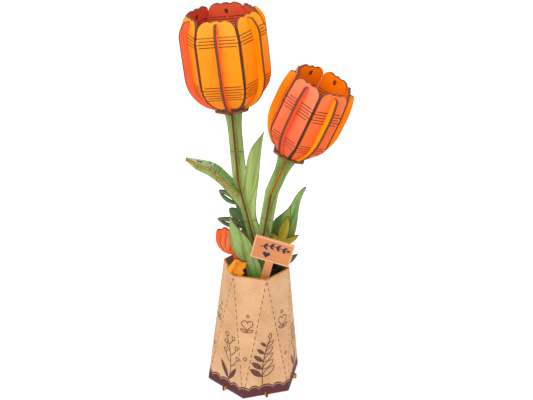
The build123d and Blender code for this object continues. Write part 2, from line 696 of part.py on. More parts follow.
def make_right_stem_upper():
    """The front plate of the right stem, from its collar to the root plate."""
    plate = upright_plate(neck_face(right_stem, RIGHT_SEAM - SEAM / 2), 0)
    plate -= main_slot(right_stem, -TENON_PROUD - OPEN_END, RIGHT_HALF_1 + PLAY)
    return plate - main_slot(right_stem, RIGHT_HALF_2 - PLAY, RIGHT_SEAM + OPEN_END)


def make_root_plate():
    """The forked plate that carries both stems and stands in the base plate."""
    left = [stem_point(left_stem, LEFT_SEAM_LOWER + SEAM / 2, side * STEM_HALF) for side in (-1, 1)]
    right = [stem_point(right_stem, RIGHT_SEAM + SEAM / 2, side * STEM_HALF) for side in (-1, 1)]
    outline = [
        left[0],
        left[1],
        (FORK_X, FORK_Z),
        right[0],
        right[1],
        (TRUNK_RIGHT, TRUNK_TOP),
        (TRUNK_RIGHT, PLY),
        (TRUNK_LEFT, PLY),
        (TRUNK_LEFT, TRUNK_TOP),
    ]
    face = polygon_face(outline)
    for x in trunk_tenons():
        face += Pos(x, PLY) * Rectangle(TRUNK_TENON, 2 * PLY)
    plate = upright_plate(face, 0)
    plate -= main_slot(left_stem, LEFT_SEAM_LOWER - OPEN_END, LEFT_HALF_4 + PLAY)
    return plate - main_slot(right_stem, RIGHT_SEAM - OPEN_END, RIGHT_HALF_3 + PLAY)


def make_left_cross_upper():
    """The cross plate of the left stem between its collar and its kink."""
    slots = [(-TENON_PROUD - OPEN_END, LEFT_HALF_1 + PLAY), (LEFT_HALF_2 - PLAY, LEFT_KINK)]
    return make_cross(left_stem, SHOULDER, LEFT_KINK - KINK_GAP / 2, slots, True)


def make_left_cross_lower():
    """The cross plate of the left stem below its kink."""
    slots = [(LEFT_KINK, LEFT_HALF_3 + PLAY), (LEFT_HALF_4 - PLAY, LEFT_CROSS_END + OPEN_END)]
    return make_cross(left_stem, LEFT_KINK + KINK_GAP / 2, LEFT_CROSS_END, slots, False)


def make_right_cross_upper():
    """The cross plate of the right stem between its collar and its kink."""
    return make_cross(right_stem, SHOULDER, RIGHT_KINK - KINK_GAP / 2, [(RIGHT_HALF_1 - PLAY, RIGHT_KINK)], True)


def make_right_cross_lower():
    """The cross plate of the right stem below its kink."""
    slots = [(RIGHT_KINK, RIGHT_HALF_2 + PLAY), (RIGHT_HALF_3 - PLAY, RIGHT_CROSS_END + OPEN_END)]
    return make_cross(right_stem, RIGHT_KINK + KINK_GAP / 2, RIGHT_CROSS_END, slots, False)


def petal_line(flower):
    """The outside of a petal along its middle, as distance from the axis and height over the collar."""
    return [
        (flower.foot, 0),
        (flower.reach, flower.lower_z),
        (flower.upper_reach, flower.upper_z),
        (flower.top_radius, flower.height),
    ]


def petal_radius(flower, height):
    """The distance of a petal's outside from the axis at a height, with its bends taken as sharp."""
    runs = petal_line(flower)
    index = sum(height > z for r, z in runs[1:-1])
    return crossing(runs[index:index + 2], [(0, height), (1, height)])[0]


def petal_half(radius, wall):
    """Half the width of a petal where its outside is at a radius and its wall is cut level."""
    return (radius - wall) * tan(radians(SIDE_ANGLE)) - PETAL_GAP / 2


def inner_half(radius):
    """Half the width of a petal on its inside, at a distance from the axis."""
    return petal_half(radius, 0)


def petal_outline(flower):
    """A petal seen from the front: it narrows downwards and has rounded top corners and a scalloped edge."""
    low_wall = PLY / sin(atan2(flower.lower_z, flower.reach - flower.foot))
    right = [
        (petal_half(petal_radius(flower, flower.low), low_wall), flower.low),
        (petal_half(flower.reach, PLY), flower.lower_z),
        (petal_half(flower.upper_reach, PLY), flower.upper_z),
        (petal_half(flower.top_radius, PLY), flower.height),
    ]
    face = polygon_face([*right, *[(-x, z) for x, z in right[::-1]]])
    face = fillet(face.vertices().group_by(Axis.Y)[3], flower.corner)
    face = fillet(face.vertices().group_by(Axis.Y)[1], flower.lower_bend)
    bite_z = flower.height + SCALLOP_RADIUS - SCALLOP_DEPTH
    bites = [Pos(side * flower.scallop_pitch / 2, bite_z) * Circle(SCALLOP_RADIUS) for side in (-1, 1)]
    return face - bites


def make_petal(flower):
    """One petal, facing +X: a plate bent at two rows of slits, with two slots for the tabs of its fin."""
    line = petal_line(flower)
    low_end = crossing(line[:2], [(0, -PLY), (1, -PLY)])
    band = bent_band([low_end, *line[1:]], [flower.lower_bend, flower.upper_bend], PLY)
    petal = extrude(Plane.XZ * band, amount=flower.reach, both=True)
    petal = petal & extrude(Plane.YZ * petal_outline(flower), amount=2 * flower.reach)
    tip = PETAL_GAP / 4 / tan(radians(SIDE_ANGLE))
    far = 2 * flower.reach
    far_half = (far - tip) * tan(radians(SIDE_ANGLE))
    petal = petal & extrude(polygon_face([(tip, 0), (far, -far_half), (far, far_half)]), amount=2 * flower.height)
    first_at_edge = flower.lower_rows % 2 == 0
    cuts = bend_cuts(line[:3], flower.lower_bend, flower.lower_rows, inner_half, first_at_edge, flower.lower_shift)
    cuts += bend_cuts(line[1:], flower.upper_bend, flower.upper_rows, inner_half, False)
    slot = Box(4 * PLY, PLY + 2 * PLAY, FIN_TAB + 2 * PLAY)
    cuts += [Pos(petal_radius(flower, z), 0, z) * slot for z in flower.tabs]
    return petal - cuts


def fin_foot(flower):
    """How far from the axis a fin reaches at the edge of its collar."""
    return COLLAR_RADIUS * cos(radians(flower.collar_turn)) - FIN_INSET


def make_fin(flower):
    """The rib on the outside of a petal, facing +X, with two tabs through the petal and a foot in the collar."""
    top_radius = petal_radius(flower, flower.fin_top_z)
    low = (petal_radius(flower, flower.low), flower.low)
    line = shifted([low, *petal_line(flower)[1:3], (top_radius, flower.fin_top_z)], PLAY)
    inner = FilletPolyline(*line, radius=[flower.lower_bend + PLAY, flower.upper_bend + PLAY])
    belly = flower.reach + flower.fin_depth
    top = (top_radius + flower.fin_top_depth, flower.fin_top_z)
    reach = fin_foot(flower)
    notch = reach - FIN_FOOT
    outer = [
        TangentArc((belly, flower.fin_low), flower.fin_toe, tangent=(0, -1)),
        Line((belly, flower.fin_low), (belly, flower.fin_high)),
        TangentArc((belly, flower.fin_high), top, tangent=(0, 1)),
    ]
    ends = Polyline(flower.fin_toe, (reach, FIN_FOOT_RISE), (reach, -PLY), (notch, -PLY), (notch, PLAY), line[0])
    face = make_face([*inner.edges(), Line(line[-1], top), *outer, *ends.edges()])
    face = fillet(face.vertices().sort_by_distance(top)[0], FIN_TOP_ROUND)
    for z in flower.tabs:
        outside = petal_radius(flower, z)
        tab_start = outside + PLY
        tab_end = outside - PLY + FIN_TAB_SHORT
        face += Pos((tab_start + tab_end) / 2, z) * Rectangle(tab_start - tab_end, FIN_TAB)
    return upright_plate(face, 0)


def tenon_hole():
    """The cross-shaped hole for the top of a stem."""
    arm = (2 * TENON_HALF + 2 * SLIDE_PLAY, PLY + 2 * SLIDE_PLAY)
    return Box(*arm, 8 * PLY) + Box(*arm[::-1], 8 * PLY)


def collar_board(flower, radius):
    """A hexagonal board under a flower, with its top at the height of the petals' foot and a hole for the stem."""
    face = RegularPolygon(radius, PETAL_COUNT, rotation=flower.turn + flower.collar_turn)
    return extrude(fillet(face.vertices(), COLLAR_CORNER), amount=-PLY) - tenon_hole()


def make_collar(flower):
    """The board that holds the fins of a flower in notches in its edge."""
    inner = fin_foot(flower) - FIN_FOOT - PLAY
    outer = COLLAR_RADIUS + PLY
    notch = Pos((inner + outer) / 2, 0, 0) * Box(outer - inner, PLY + 2 * PLAY, 4 * PLY)
    return collar_board(flower, COLLAR_RADIUS) - [Rot(0, 0, angle) * notch for angle in petal_angles(flower)]


def make_under_collar(flower):
    """The smaller board under the collar."""
    return Pos(0, 0, -PLY) * collar_board(flower, UNDER_COLLAR_RADIUS)


def petal_angles(flower):
    """The directions that the petals face, counted round the flower from its first petal."""
    return [flower.turn + 360.0 / PETAL_COUNT * k for k in range(PETAL_COUNT)]


def flower_place(flower):
    """The place of a flower on its stem; it may be tipped a little about the middle of its tenon hole."""
    stem = flower.stem
    pivot = (SHOULDER - TENON_PROUD) / 2
    lift = stem.neck_half * sin(radians(abs(flower.tip))) + PLAY * abs(flower.tip)
    on_stem = Pos(stem.top[0], 0, stem.top[1]) * Rot(0, stem.lean, 0)
    return on_stem * Pos(0, 0, -pivot) * Rot(0, flower.tip, 0) * Pos(0, 0, pivot + lift)


def make_flower(name, flower):
    """All the boards of one flower, in their places on its stem."""
    petal = make_petal(flower)
    fin = make_fin(flower)
    place = flower_place(flower)
    boards = {}
    for number, angle in enumerate(petal_angles(flower), start=1):
        boards[f"{name}_petal_{number}"] = place * Rot(0, 0, angle) * petal
        boards[f"{name}_fin_{number}"] = place * Rot(0, 0, angle) * fin
    boards[f"{name}_collar"] = place * make_collar(flower)
    boards[f"{name}_under_collar"] = place * make_under_collar(flower)
    return boards


def planted(outline, tab_x, depth):
    """A plate from an outline drawn from its tab, with a foot on the soil board and a tab through it."""
    foot = Pos(0, PLANT_FOOT / 2) * Rectangle(PLANT_TAB + 2 * PLANT_SHOULDER, PLANT_FOOT)
    tab_length = SOIL_TOP - TAB_END + PLANT_FOOT / 2
    tab = Pos(0, PLANT_FOOT / 2 - tab_length / 2) * Rectangle(PLANT_TAB, tab_length)
    return upright_plate(Pos(tab_x, SOIL_TOP) * (outline + foot + tab), depth)


def leaf_face(left, right, tip):
    """A leaf: two curves from its foot to a shared tip."""
    return make_face([Spline(*left, tip), Spline(*right, tip), Line(left[0], right[0])])


def lens(line, width):
    """A pointed leaf between two arcs."""
    base, tip = line
    middle = ((base[0] + tip[0]) / 2, (base[1] + tip[1]) / 2)
    sides = [shifted([middle, tip], side * width / 2)[0] for side in (-1, 1)]
    return make_face([ThreePointArc(base, side, tip) for side in sides])


def open_lens(line, width):
    """A pointed leaf that leans to the left, with an opening in its lower half."""
    base, tip = line
    run = (tip[0] - base[0], tip[1] - base[1])
    hole = [(base[0] + share * run[0], base[1] + share * run[1]) for share in (OPEN_LEAF_START, OPEN_LEAF_END)]
    return lens(line, width) - lens(shifted(hole, -OPEN_LEAF_DROP), OPEN_LEAF_WIDTH)


def stalk_face(points):
    """A stalk of even width along a few points."""
    right = shifted(points, STALK / 2)
    left = shifted(points, -STALK / 2)
    return polygon_face([*right, *left[::-1]])


def make_front_leaf():
    """The broad leaf in front."""
    face = leaf_face(FRONT_LEAF_LEFT, FRONT_LEAF_RIGHT, FRONT_LEAF_TIP)
    return planted(face, FRONT_LEAF_TAB_X, FRONT_LEAF_DEPTH)


def make_right_leaf():
    """The slender leaf at the right, behind the stems, with a rounded tip."""
    face = leaf_face(RIGHT_LEAF_LEFT, RIGHT_LEAF_RIGHT, RIGHT_LEAF_TIP)
    face = fillet(face.vertices().sort_by(Axis.Y)[-1], LEAF_TIP_ROUND)
    return planted(face, RIGHT_LEAF_TAB_X, RIGHT_LEAF_DEPTH)


def make_dark_sprig():
    """The dark sprig at the left, with two open leaves and one whole leaf."""
    face = stalk_face(DARK_SPRIG_STALK) + lens(DARK_SPRIG_MIDDLE, DARK_LEAF_WIDTH)
    face += open_lens(DARK_SPRIG_UPPER, DARK_LEAF_WIDTH)
    face += open_lens(DARK_SPRIG_LOWER, DARK_LEAF_WIDTH)
    return planted(face, DARK_SPRIG_TAB_X, DARK_SPRIG_DEPTH)


def make_olive_sprig():
    """The olive sprig of three leaves at the right."""
    face = stalk_face(OLIVE_SPRIG_STALK) + lens(OLIVE_SPRIG_TOP, OLIVE_TOP_WIDTH)
    for line in (OLIVE_SPRIG_LEFT, OLIVE_SPRIG_RIGHT):
        face += lens(line, OLIVE_SIDE_WIDTH)
    return planted(face, OLIVE_SPRIG_TAB_X, OLIVE_SPRIG_DEPTH)


def make_low_leaf():
    """The low dark leaf that looks out beside the sign."""
    face = stalk_face(LOW_LEAF_STALK) + lens(LOW_LEAF_BLADE, LOW_LEAF_WIDTH)
    return planted(face, LOW_LEAF_TAB_X, LOW_LEAF_DEPTH)


def make_bud():
    """The flat red bud at the left, on a stalk behind the front leaf."""
    scallops = [ThreePointArc(*points) for points in BUD_SCALLOPS]
    face = make_face([Spline(*BUD_CUP), *scallops]) + stalk_face(BUD_STALK)
    return planted(face, BUD_TAB_X, BUD_DEPTH)


def make_blossom():
    """The yellow blossom that leans over the rim at the front left."""
    face = polygon_face([*BLOSSOM_LEFT, *BLOSSOM_RIGHT])
    face = fillet(face.vertices(), BLOSSOM_ROUND)
    return planted(face + stalk_face(BLOSSOM_STALK), BLOSSOM_TAB_X, BLOSSOM_DEPTH)


def sign_place():
    """The middle of the sign's board, turned with its lean."""
    return Pos(SIGN_X, SIGN_DEPTH, SIGN_Z) * Rot(0, SIGN_LEAN, 0)


def stake_depth(height):
    """How far along the stake from the middle of the sign a height is reached."""
    return (height - SIGN_Z) / cos(radians(SIGN_LEAN))


def make_sign():
    """The small sign: a board and its stake in one piece, leaning to the right."""
    board = fillet(Rectangle(SIGN_WIDTH, SIGN_HEIGHT).vertices(), SIGN_CORNER)
    end = stake_depth(TAB_END)
    face = board + Pos(0, end / 2) * Rectangle(STAKE_WIDTH, -end)
    return sign_place() * upright_plate(face, 0)


nodes = {
    "vase_wrap": make_vase_wrap(),
    "base_plate": make_base_plate(),
    "soil_plate": make_soil_plate(),
    "root_plate": make_root_plate(),
    "left_stem_upper": make_left_stem_upper(),
    "left_stem_middle": make_left_stem_middle(),
    "left_cross_upper": make_left_cross_upper(),
    "left_cross_lower": make_left_cross_lower(),
    "left_leaf_blade": make_left_leaf_blade(),
    "right_stem_upper": make_right_stem_upper(),
    "right_cross_upper": make_right_cross_upper(),
    "right_cross_lower": make_right_cross_lower(),
    "front_leaf": make_front_leaf(),
    "right_leaf": make_right_leaf(),
    "dark_sprig": make_dark_sprig(),
    "olive_sprig": make_olive_sprig(),
    "low_leaf": make_low_leaf(),
    "bud": make_bud(),
    "blossom": make_blossom(),
    "sign": make_sign(),
}
for rib in range(6):
    nodes[f"frame_rib_{rib + 1}"] = make_rib(rib)
nodes.update(make_flower("tall_tulip", tall))
nodes.update(make_flower("small_tulip", small))

os.makedirs("parts", exist_ok=True)
for name, solid in nodes.items():
    export_step(solid, f"parts/{name}.step")
print(len(nodes), "nodes")
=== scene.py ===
from collections import namedtuple
from math import cos, pi, radians, sin

import bmesh
import bpy
from mathutils import Matrix, Vector


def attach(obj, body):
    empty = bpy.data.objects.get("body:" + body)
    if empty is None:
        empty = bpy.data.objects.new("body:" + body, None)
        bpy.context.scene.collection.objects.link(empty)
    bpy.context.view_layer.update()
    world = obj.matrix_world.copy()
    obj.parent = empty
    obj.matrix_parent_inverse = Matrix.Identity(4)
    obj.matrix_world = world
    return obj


# Looks of the wooden tulips: printed plywood with laser-burnt edges, in a vase of printed kraft card.
# Sizes in this file are millimetres and angles are degrees; MM turns sizes to the frame's metres.
MM = 0.001

# Sides of each flower and of the vase, and the angle of the front
SIDES = 6
SIDE_ANGLE = 360 / SIDES
FRONT_ANGLE = -90

# Stems: lean of each run of plates, and where the leaves' plates stand on the soil
LEFT_UPPER_LEAN = -5.8
LEFT_LOWER_LEAN = -15.0
RIGHT_UPPER_LEAN = 20.0
RIGHT_LOWER_LEAN = 7.6
BLADE_LEAN = 28.0
SOIL_TOP = 97.5
LEFT_KINK = (-15.0, 0.0, 180.6)
FRONT_LEAF_PLACE = (-0.5, -13.0, SOIL_TOP)
RIGHT_LEAF_PLACE = (14.5, 10.0, SOIL_TOP)
LOW_LEAF_PLACE = (17.5, -5.5, SOIL_TOP)
OLIVE_SPRIG_PLACE = (16.5, 4.5, SOIL_TOP)
BUD_PLACE = (-15.0, -5.0, SOIL_TOP)
BLOSSOM_PLACE = (-9.5, -20.4, SOIL_TOP)

# The sign's board, with a pale printed border
SIGN_PLACE = (14.5, -15.4, 129.25)
SIGN_LEAN = 12.5
SIGN_HALF_DEPTH = 1.0
SIGN_HALF_WIDTH = 16.0
SIGN_HALF_HEIGHT = 10.0
SIGN_BORDER = 1.2

# The card vase: its form, its frame's first rib, its perforated creases, the stain along its rim and the
# scalloped border at its foot
VASE_BOTTOM = 40.0
VASE_TOP = 27.2
VASE_HEIGHT = 106.0
VASE_LIFT = 1.5
VASE_TURN = -4.3
FIRST_RIB_ANGLE = -60.0
CREASE_DASH = 3.1
CREASE_PITCH = 5.3
CREASE_HALF = 0.36
RIM_STAIN = 0.8
BORDER_HEIGHT = 10.2
SCALLOP_HALF = 4.0
SCALLOP_FALL = 0.16
BORDER_LINE_DEPTH = 1.7
BORDER_LINE_HALF = 0.25

# Faces are told from cut edges by how squarely they look along the plate's own thickness
FACE_LIMIT = 0.62
PETAL_FACE_LIMIT = 0.535

# Plywood: grain through the print, drawn a little coarse so that it shows, a scorched strip along each laser
# cut, and soot on the cut edges. SCORCH_NONE and SCORCH_FULL are the likeness of the rounded normal to the
# true one at the strip's inner side and at the cut.
GRAIN_WIDTH = 0.6
GRAIN_LENGTH = 14.0
GRAIN_DETAIL = 3.0
GRAIN_DARK = 0.9
GRAIN_LIGHT = 1.07
GRAIN_DEPTH = 0.1
GRAIN_BUMP = 0.12
SCORCH_WIDTH = 0.75
SCORCH_HEAT = 0.85
SCORCH_SAMPLES = 4
SCORCH_NONE = 0.998
SCORCH_FULL = 0.965
SOOT_PATCH = 5 / 3
SOOT_DETAIL = 4.0
SOOT_DARK = 0.75
SOOT_LIGHT = 1.2
NOISE_LOW = 0.3
NOISE_HIGH = 0.7
EDGE_ROUGHNESS = 0.85
PRINT_ROUGHNESS = 0.5
PLY_SHINE = 0.12

# Brush strokes of the prints: the common ones, and where a piece has its own lean, width or length
STROKE_WIDTH = 3.0
STROKE_LENGTH = 40.0
STROKE_DETAIL = 3.0
STROKE_ROUGHNESS = 0.6
FINE_STROKE_WIDTH = 2.0
LEAF_STROKE_WIDTH = 2.6
TALL_LEAF_STROKE_WIDTH = 2.2
BLADE_STROKE_WIDTH = 2.4
FIN_STROKE_WIDTH = 4.0
FIN_STROKE_LENGTH = 30.0
BUD_STROKE_WIDTH = 4.5
BUD_STROKE_LENGTH = 50.0
BLOSSOM_STROKE_WIDTH = 5.0
BLOSSOM_STROKE_LENGTH = 30.0
SOIL_CRUMB_WIDTH = 1.5
SOIL_CRUMB_LENGTH = 4.0
TALL_LEAF_STROKE_LEAN = 5.0
RIGHT_STEM_STROKE_LEAN = 15.0
FRONT_LEAF_STROKE_LEAN = -14.0
RIGHT_LEAF_STROKE_LEAN = 14.0
LOW_LEAF_STROKE_LEAN = 40.0
DARK_SPRIG_STROKE_LEAN = -60.0
OLIVE_SPRIG_STROKE_LEAN = 15.0
BUD_STROKE_LEAN = 8.0
BLOSSOM_STROKE_LEAN = 20.0

# The petals' wash of colour: size of its patches, how much they sway it, and the sum at which it is palest
WASH_PATCH = 100 / 9
WASH_DETAIL = 3.0
WASH_SWAY = 0.45
WASH_TOP = 1.35

# Printed veins: foot and tip on the plate's X and Z, bow to the side, half the width of the line
TALL_LEAF_VEINS = [((9.5, -20), (15, 36), 2.2, 0.35), ((4.2, -24), (5.2, 14), -0.4, 0.3)]
FRONT_LEAF_VEINS = [((0.5, 6), (-1.0, 36), -1.2, 0.4), ((4.2, 6), (4.0, 24), 0.6, 0.3)]
RIGHT_LEAF_VEINS = [((-1.9, 32.5), (-4.8, 61.0), 2.0, 0.45)]
BUD_VEINS = [
    ((-12.6, 19.6), (-17.4, 34.0), -2.6, 0.4),
    ((-11.0, 19.4), (-13.6, 36.0), -1.4, 0.4),
    ((-9.6, 19.6), (-9.4, 34.0), 0.8, 0.4),
]

# Fades along a plate: where the fade starts, where it ends, and the colour it ends in. The fades to dark at
# the feet of the right leaf, the low leaf and the olive sprig are painted shade deep in the vase by the soil.
BLADE_FADE = (-18.0, -38.0, "#A9C398")
FRONT_LEAF_FADE = (22.0, 4.0, "#688A30")
RIGHT_LEAF_PAINTED_SHADE = (28.0, 8.0, "#1E2C20")
LOW_LEAF_PAINTED_SHADE = (24.0, 14.0, "#1A241C")
DARK_SPRIG_FADE = (84.0, 102.0, "#6E8656")
OLIVE_SPRIG_PAINTED_SHADE = (28.0, 12.0, "#3C4420")

# Prints in brush strokes, each from its darkest to its lightest
STEM_GREEN = [(0.28, "#64863A"), (0.42, "#88A554"), (0.56, "#9FB568"), (0.72, "#B2C27C")]
LEAF_GREEN = [(0.3, "#7E964A"), (0.46, "#98AE60"), (0.6, "#A6B86C"), (0.74, "#B4C47E")]
FRONT_GREEN = [(0.28, "#628632"), (0.42, "#829C4E"), (0.56, "#99AE68"), (0.74, "#AABA7E")]
RIGHT_GREEN = [(0.28, "#557F40"), (0.42, "#769C54"), (0.56, "#92B062"), (0.74, "#A6C076")]
BLADE_GREEN = [(0.3, "#60923E"), (0.5, "#82A854"), (0.7, "#9CBA6E")]
DARK_GREEN = [(0.3, "#446246"), (0.55, "#627E50"), (0.75, "#7C945C")]
OLIVE = [(0.3, "#8C8420"), (0.5, "#A8982E"), (0.7, "#BCAC42")]
COLLAR_OLIVE = [(0.3, "#6E6634"), (0.5, "#8C8046"), (0.7, "#A0945A")]
UNDER_TAN = [(0.3, "#8A6C40"), (0.5, "#A4834F"), (0.7, "#B89860")]
AMBER_SIDE = [(0.3, "#FF8C00"), (0.5, "#FF9A06"), (0.7, "#FFA614")]
SALMON_SIDE = [(0.3, "#F85A2C"), (0.5, "#FF6C3E"), (0.7, "#FF7A50")]
BUD_RED = [(0.3, "#FA5A24"), (0.5, "#FF6E38"), (0.7, "#FF8A52")]
PEACH = [(0.3, "#D2824E"), (0.5, "#D88A56"), (0.7, "#DE9260")]
SOIL = [(0.3, "#181A14"), (0.6, "#2A2A20")]
BARE_WOOD = [(0.3, "#D2A45E"), (0.5, "#E2B873"), (0.7, "#ECC88A")]

# The blossom's print has a fine brown stroke between its lighter ones
BLOSSOM_YELLOW = [
    (0.3, "#E07E10"),
    (0.47, "#EA8C1A"),
    (0.495, "#B05A0A"),
    (0.52, "#EA8C1A"),
    (0.7, "#F29E30"),
]

# Washes of the petals, each from its foot to its top: darker at the foot, which is painted shade low in the
# cups, and paler at the top, which is painted light on the tops that face up
# The front petal's wash is a lighter copy of the next one: painted light on the petal that faces the lamps
AMBER = [(0.1, "#FF9612"), (0.4, "#FF9212"), (0.65, "#FF9618"), (0.9, "#FFA02F")]
DEEP_AMBER = [(0.1, "#FF7C00"), (0.4, "#FF8804"), (0.65, "#FF900C"), (0.9, "#FF9C22")]
SCARLET = [(0.1, "#E43C20"), (0.5, "#FF623A"), (0.85, "#FF7C50")]
# A darker copy of the inside wash above: painted shade inside a petal that lies in shade
PAINTED_SHADE_SCARLET = [(0.1, "#C8301A"), (0.5, "#E54C2F"), (0.85, "#E55B3E")]
# The front petal's wash is a lighter copy of the next one: painted light on the petal that faces the lamps
SALMON = [(0.1, "#F45E2E"), (0.45, "#FE7046"), (0.85, "#FF865C")]
DEEP_SALMON = [(0.1, "#F45C24"), (0.45, "#FF6E32"), (0.85, "#FF7E46")]
ORANGE = [(0.1, "#DC5A02"), (0.5, "#FF7A04"), (0.85, "#FF8608")]

# Lines printed over these colours
VEIN_GREEN = "#4C6A34"
TALL_LEAF_VEIN = "#6C8444"
BUD_VEIN = "#B4401E"
SIGN_PALE = "#E6B088"

# Cut edges: their rim along the faces and their core, and the burn, heat and reach of the strip on the faces,
# which are its colour, its strength and its width; a piece names only what is its own
EDGE_RIM = "#4A2A20"
EDGE_CORE = "#7E5038"
SCORCH_BROWN = "#5C3624"
CROSS_EDGE = {"rim": "#B08448", "core": "#643C1E", "heat": 0.3}
WARM_EDGE = {"rim": "#BC8642", "core": "#9C561A", "heat": 0.3}
BLADE_EDGE = {"rim": "#4A2C16", "core": "#CC9058", "burn": "#5E5030", "heat": 0.6, "reach": 1.3}
DARK_SPRIG_EDGE = {"rim": "#383826", "core": "#565238", "burn": "#36442E"}
OLIVE_SPRIG_EDGE = {"heat": 0.5}
BUD_EDGE = {"rim": "#4A1E14", "core": "#74382A"}
BLOSSOM_EDGE = {"rim": "#4E281C", "core": "#744030"}
SIGN_EDGE = {"rim": "#ECB28A", "core": "#E09866", "burn": "#ECB48E"}
RIB_EDGE = {"rim": "#5A2012", "core": "#8C3C1C", "heat": 0.4}
PETAL_EDGE = {"rim": "#4E2A20", "core": "#7A4C38"}
FIN_EDGE = {"rim": "#4E2A1C", "core": "#774A34", "heat": 0.6}
COLLAR_EDGE = {"rim": "#43271A", "core": "#8E6448"}
UNDER_COLLAR_EDGE = {"core": "#80583A"}

# Kraft card: its colours, the size of its fibres and clouds, and its surface
KRAFT = [(0.34, "#C08C61"), (0.5, "#DAAA7D"), (0.66, "#E6BE93")]
CREASE_BROWN = "#8A5C38"
BORDER_PLUM = "#5F3237"
RIM_BROWN = "#C47E42"
FIBRE_LENGTH = 10 / 11
FIBRE_DETAIL = 5.0
FIBRE_ROUGHNESS = 0.7
CLOUD_PATCH = 20.0
CLOUD_DETAIL = 2.0
CLOUD_SHARE = 0.6
CREASE_SINK = 3.0
KRAFT_DEPTH = 0.12
KRAFT_BUMP = 0.25
KRAFT_ROUGHNESS = 0.78
KRAFT_SHINE = 0.25

# Printing ink: its colours, the size of its uneven patches, half the width of a line and how far it stands
PLUM_INK = [(0.4, "#5E3A38"), (0.7, "#7E5548")]
SLATE_INK = [(0.4, "#2C2A38"), (0.7, "#423E4C")]
INK_PATCH = 1.25
INK_DETAIL = 4.0
INK_ROUGHNESS = 0.8
INK_SHINE = 0.2
INK_HALF = 0.38
INK_LIFT = 0.05
INK_FLATNESS = 0.12

# Points along the drawn curves
ARC_POINTS = 9
RING_POINTS = 18
HEART_POINTS = 28
BERRY_STEM_POINTS = 13
BERRY_STALK_POINTS = 6

# A fern on the card: its foot, height, lean and bow, its end leaf and its longest side leaf as shares of its
# height, and a side leaf's width as a share of that leaf's length
FERN_FOOT = (-3, 10)
FERN_HEIGHT = 42
FERN_LEAN = 6
FERN_BOW = 0.06
FERN_PAIRS = 5
FERN_TIP_LENGTH = 0.14
FERN_TIP_WIDTH = 0.05
FERN_LEAF_ANGLE = 42
FERN_LEAF_LENGTH = 0.34
FERN_LEAF_SHRINK = 0.2
FERN_LEAF_WIDTH = 0.36

# A berry branch on the card: its stalks by their point on the stem, their side and their reach, and the
# leaves at its foot by their angle, length and width
BERRY_FOOT = (3, 10)
BERRY_HEIGHT = 40
BERRY_LEAN = -5
BERRY_BOW = -0.08
BERRY_TOP_RADIUS = 1.8
BERRY_RADIUS = 1.6
BERRY_ASIDE = 0.6
BERRY_RISE = 1.5
BERRY_STALKS = [(4, 1, 8), (5, -1, 8), (7, 1, 7), (8, -1, 6), (10, 1, 5)]
BERRY_STALK_SPREAD = 0.75
BERRY_STALK_BOW = 0.12
BERRY_LEAVES = [(62, 16, 4), (122, 19, 4.5)]

# A heart on the card, over two leaves and between two rings; drops, the rise and the leaves' sizes are shares
# of its width
HEART_PLACE = (0, 66)
HEART_SIZE = 9.5
HEART_LEAF_DROP = 0.7
HEART_LEAF_LEAN = 62
HEART_LEAF_LENGTH = 0.62
HEART_LEAF_WIDTH = 0.22
UPPER_RING_RISE = 0.8
UPPER_RING_RADIUS = 1.1
LOWER_RING_DROP = 3.2
LOWER_RING_RADIUS = 1.3

# The sign's twig and heart; each pair of leaves is turned a little further than the one before
TWIG_START = (-10.0, 1.6)
TWIG_END = (10.0, 3.4)
TWIG_BOW = 0.1
TWIG_TIP_ANGLE = 10
TWIG_TIP_LENGTH = 4.2
TWIG_UPPER_ANGLE = 48
TWIG_UPPER_LENGTH = 4.4
TWIG_LOWER_ANGLE = -34
TWIG_LOWER_LENGTH = 4.2
TWIG_TURN = 6
TWIG_LEAF_WIDTH = 1.9
SIGN_HEART_PLACE = (-4.0, -4.2)
SIGN_HEART_SIZE = 6.0

# Camera: where it looks, from which side, how far away, its field and its tilt to one side
CAMERA_TARGET = (6.61, -0.497, 165.929)
CAMERA_AZIMUTH = 7.175
CAMERA_ELEVATION = 27.213
CAMERA_DISTANCE = 850.0
CAMERA_FOCAL_PIXELS = 1083.228
CAMERA_ROLL = 1.766
PHOTO_WIDTH = 533
SENSOR = 36.0

# White studio: the floor, how bright the room shines and how bright it looks, and the lamps with their place,
# size and power in watts
WHITE = (1, 1, 1, 1)
FLOOR_HALF = 3000.0
FLOOR_COLOUR = (0.8, 0.8, 0.8, 1.0)
FLOOR_LIFT = 0.5
ROOM_LIGHT = 0.78
ROOM_SEEN = 1.0
LAMP_TARGET = (0.0, 0.0, 170.0)
LAMPS = [
    ("key_above_left", (-500.0, -800.0, 1050.0), 700.0, 5.0),
    ("fill_right", (900.0, -600.0, 500.0), 800.0, 1.5),
    ("top_front", (0.0, -400.0, 1300.0), 600.0, 4.0),
]

# Sockets of a Mix node for colours: the second colour's share, both colours, and the mix that comes out
SHARE, FIRST, SECOND = 0, 6, 7
MIXED = 2

# A flower's frame, as in the solids, is the middle of its collar's top, its lean to the side and the turn of
# its first petal. The front petal's outside has a lighter wash of its own, which is painted light, and one
# petal's inside has a darker wash, which is painted shade.
Flower = namedtuple("Flower", "name foot lean turn height front_petal front outside inside dark_inside")
PAINTED_SHADE_PETAL = 5
TALL_TULIP = Flower(
    name="tall_tulip",
    foot=(-21.4, 0.0, 242.73),
    lean=-7.8,
    turn=-88.5,
    height=73.8,
    front_petal=1,
    front=AMBER,
    outside=DEEP_AMBER,
    inside=SCARLET,
    dark_inside=PAINTED_SHADE_SCARLET,
)
SMALL_TULIP = Flower(
    name="small_tulip",
    foot=(23.41, 0.0, 208.5),
    lean=21.2,
    turn=-57.2,
    height=65.2,
    front_petal=6,
    front=SALMON,
    outside=DEEP_SALMON,
    inside=ORANGE,
    dark_inside=ORANGE,
)

# The small tulip has one fin put in the other way round
FLIPPED_FIN = 5

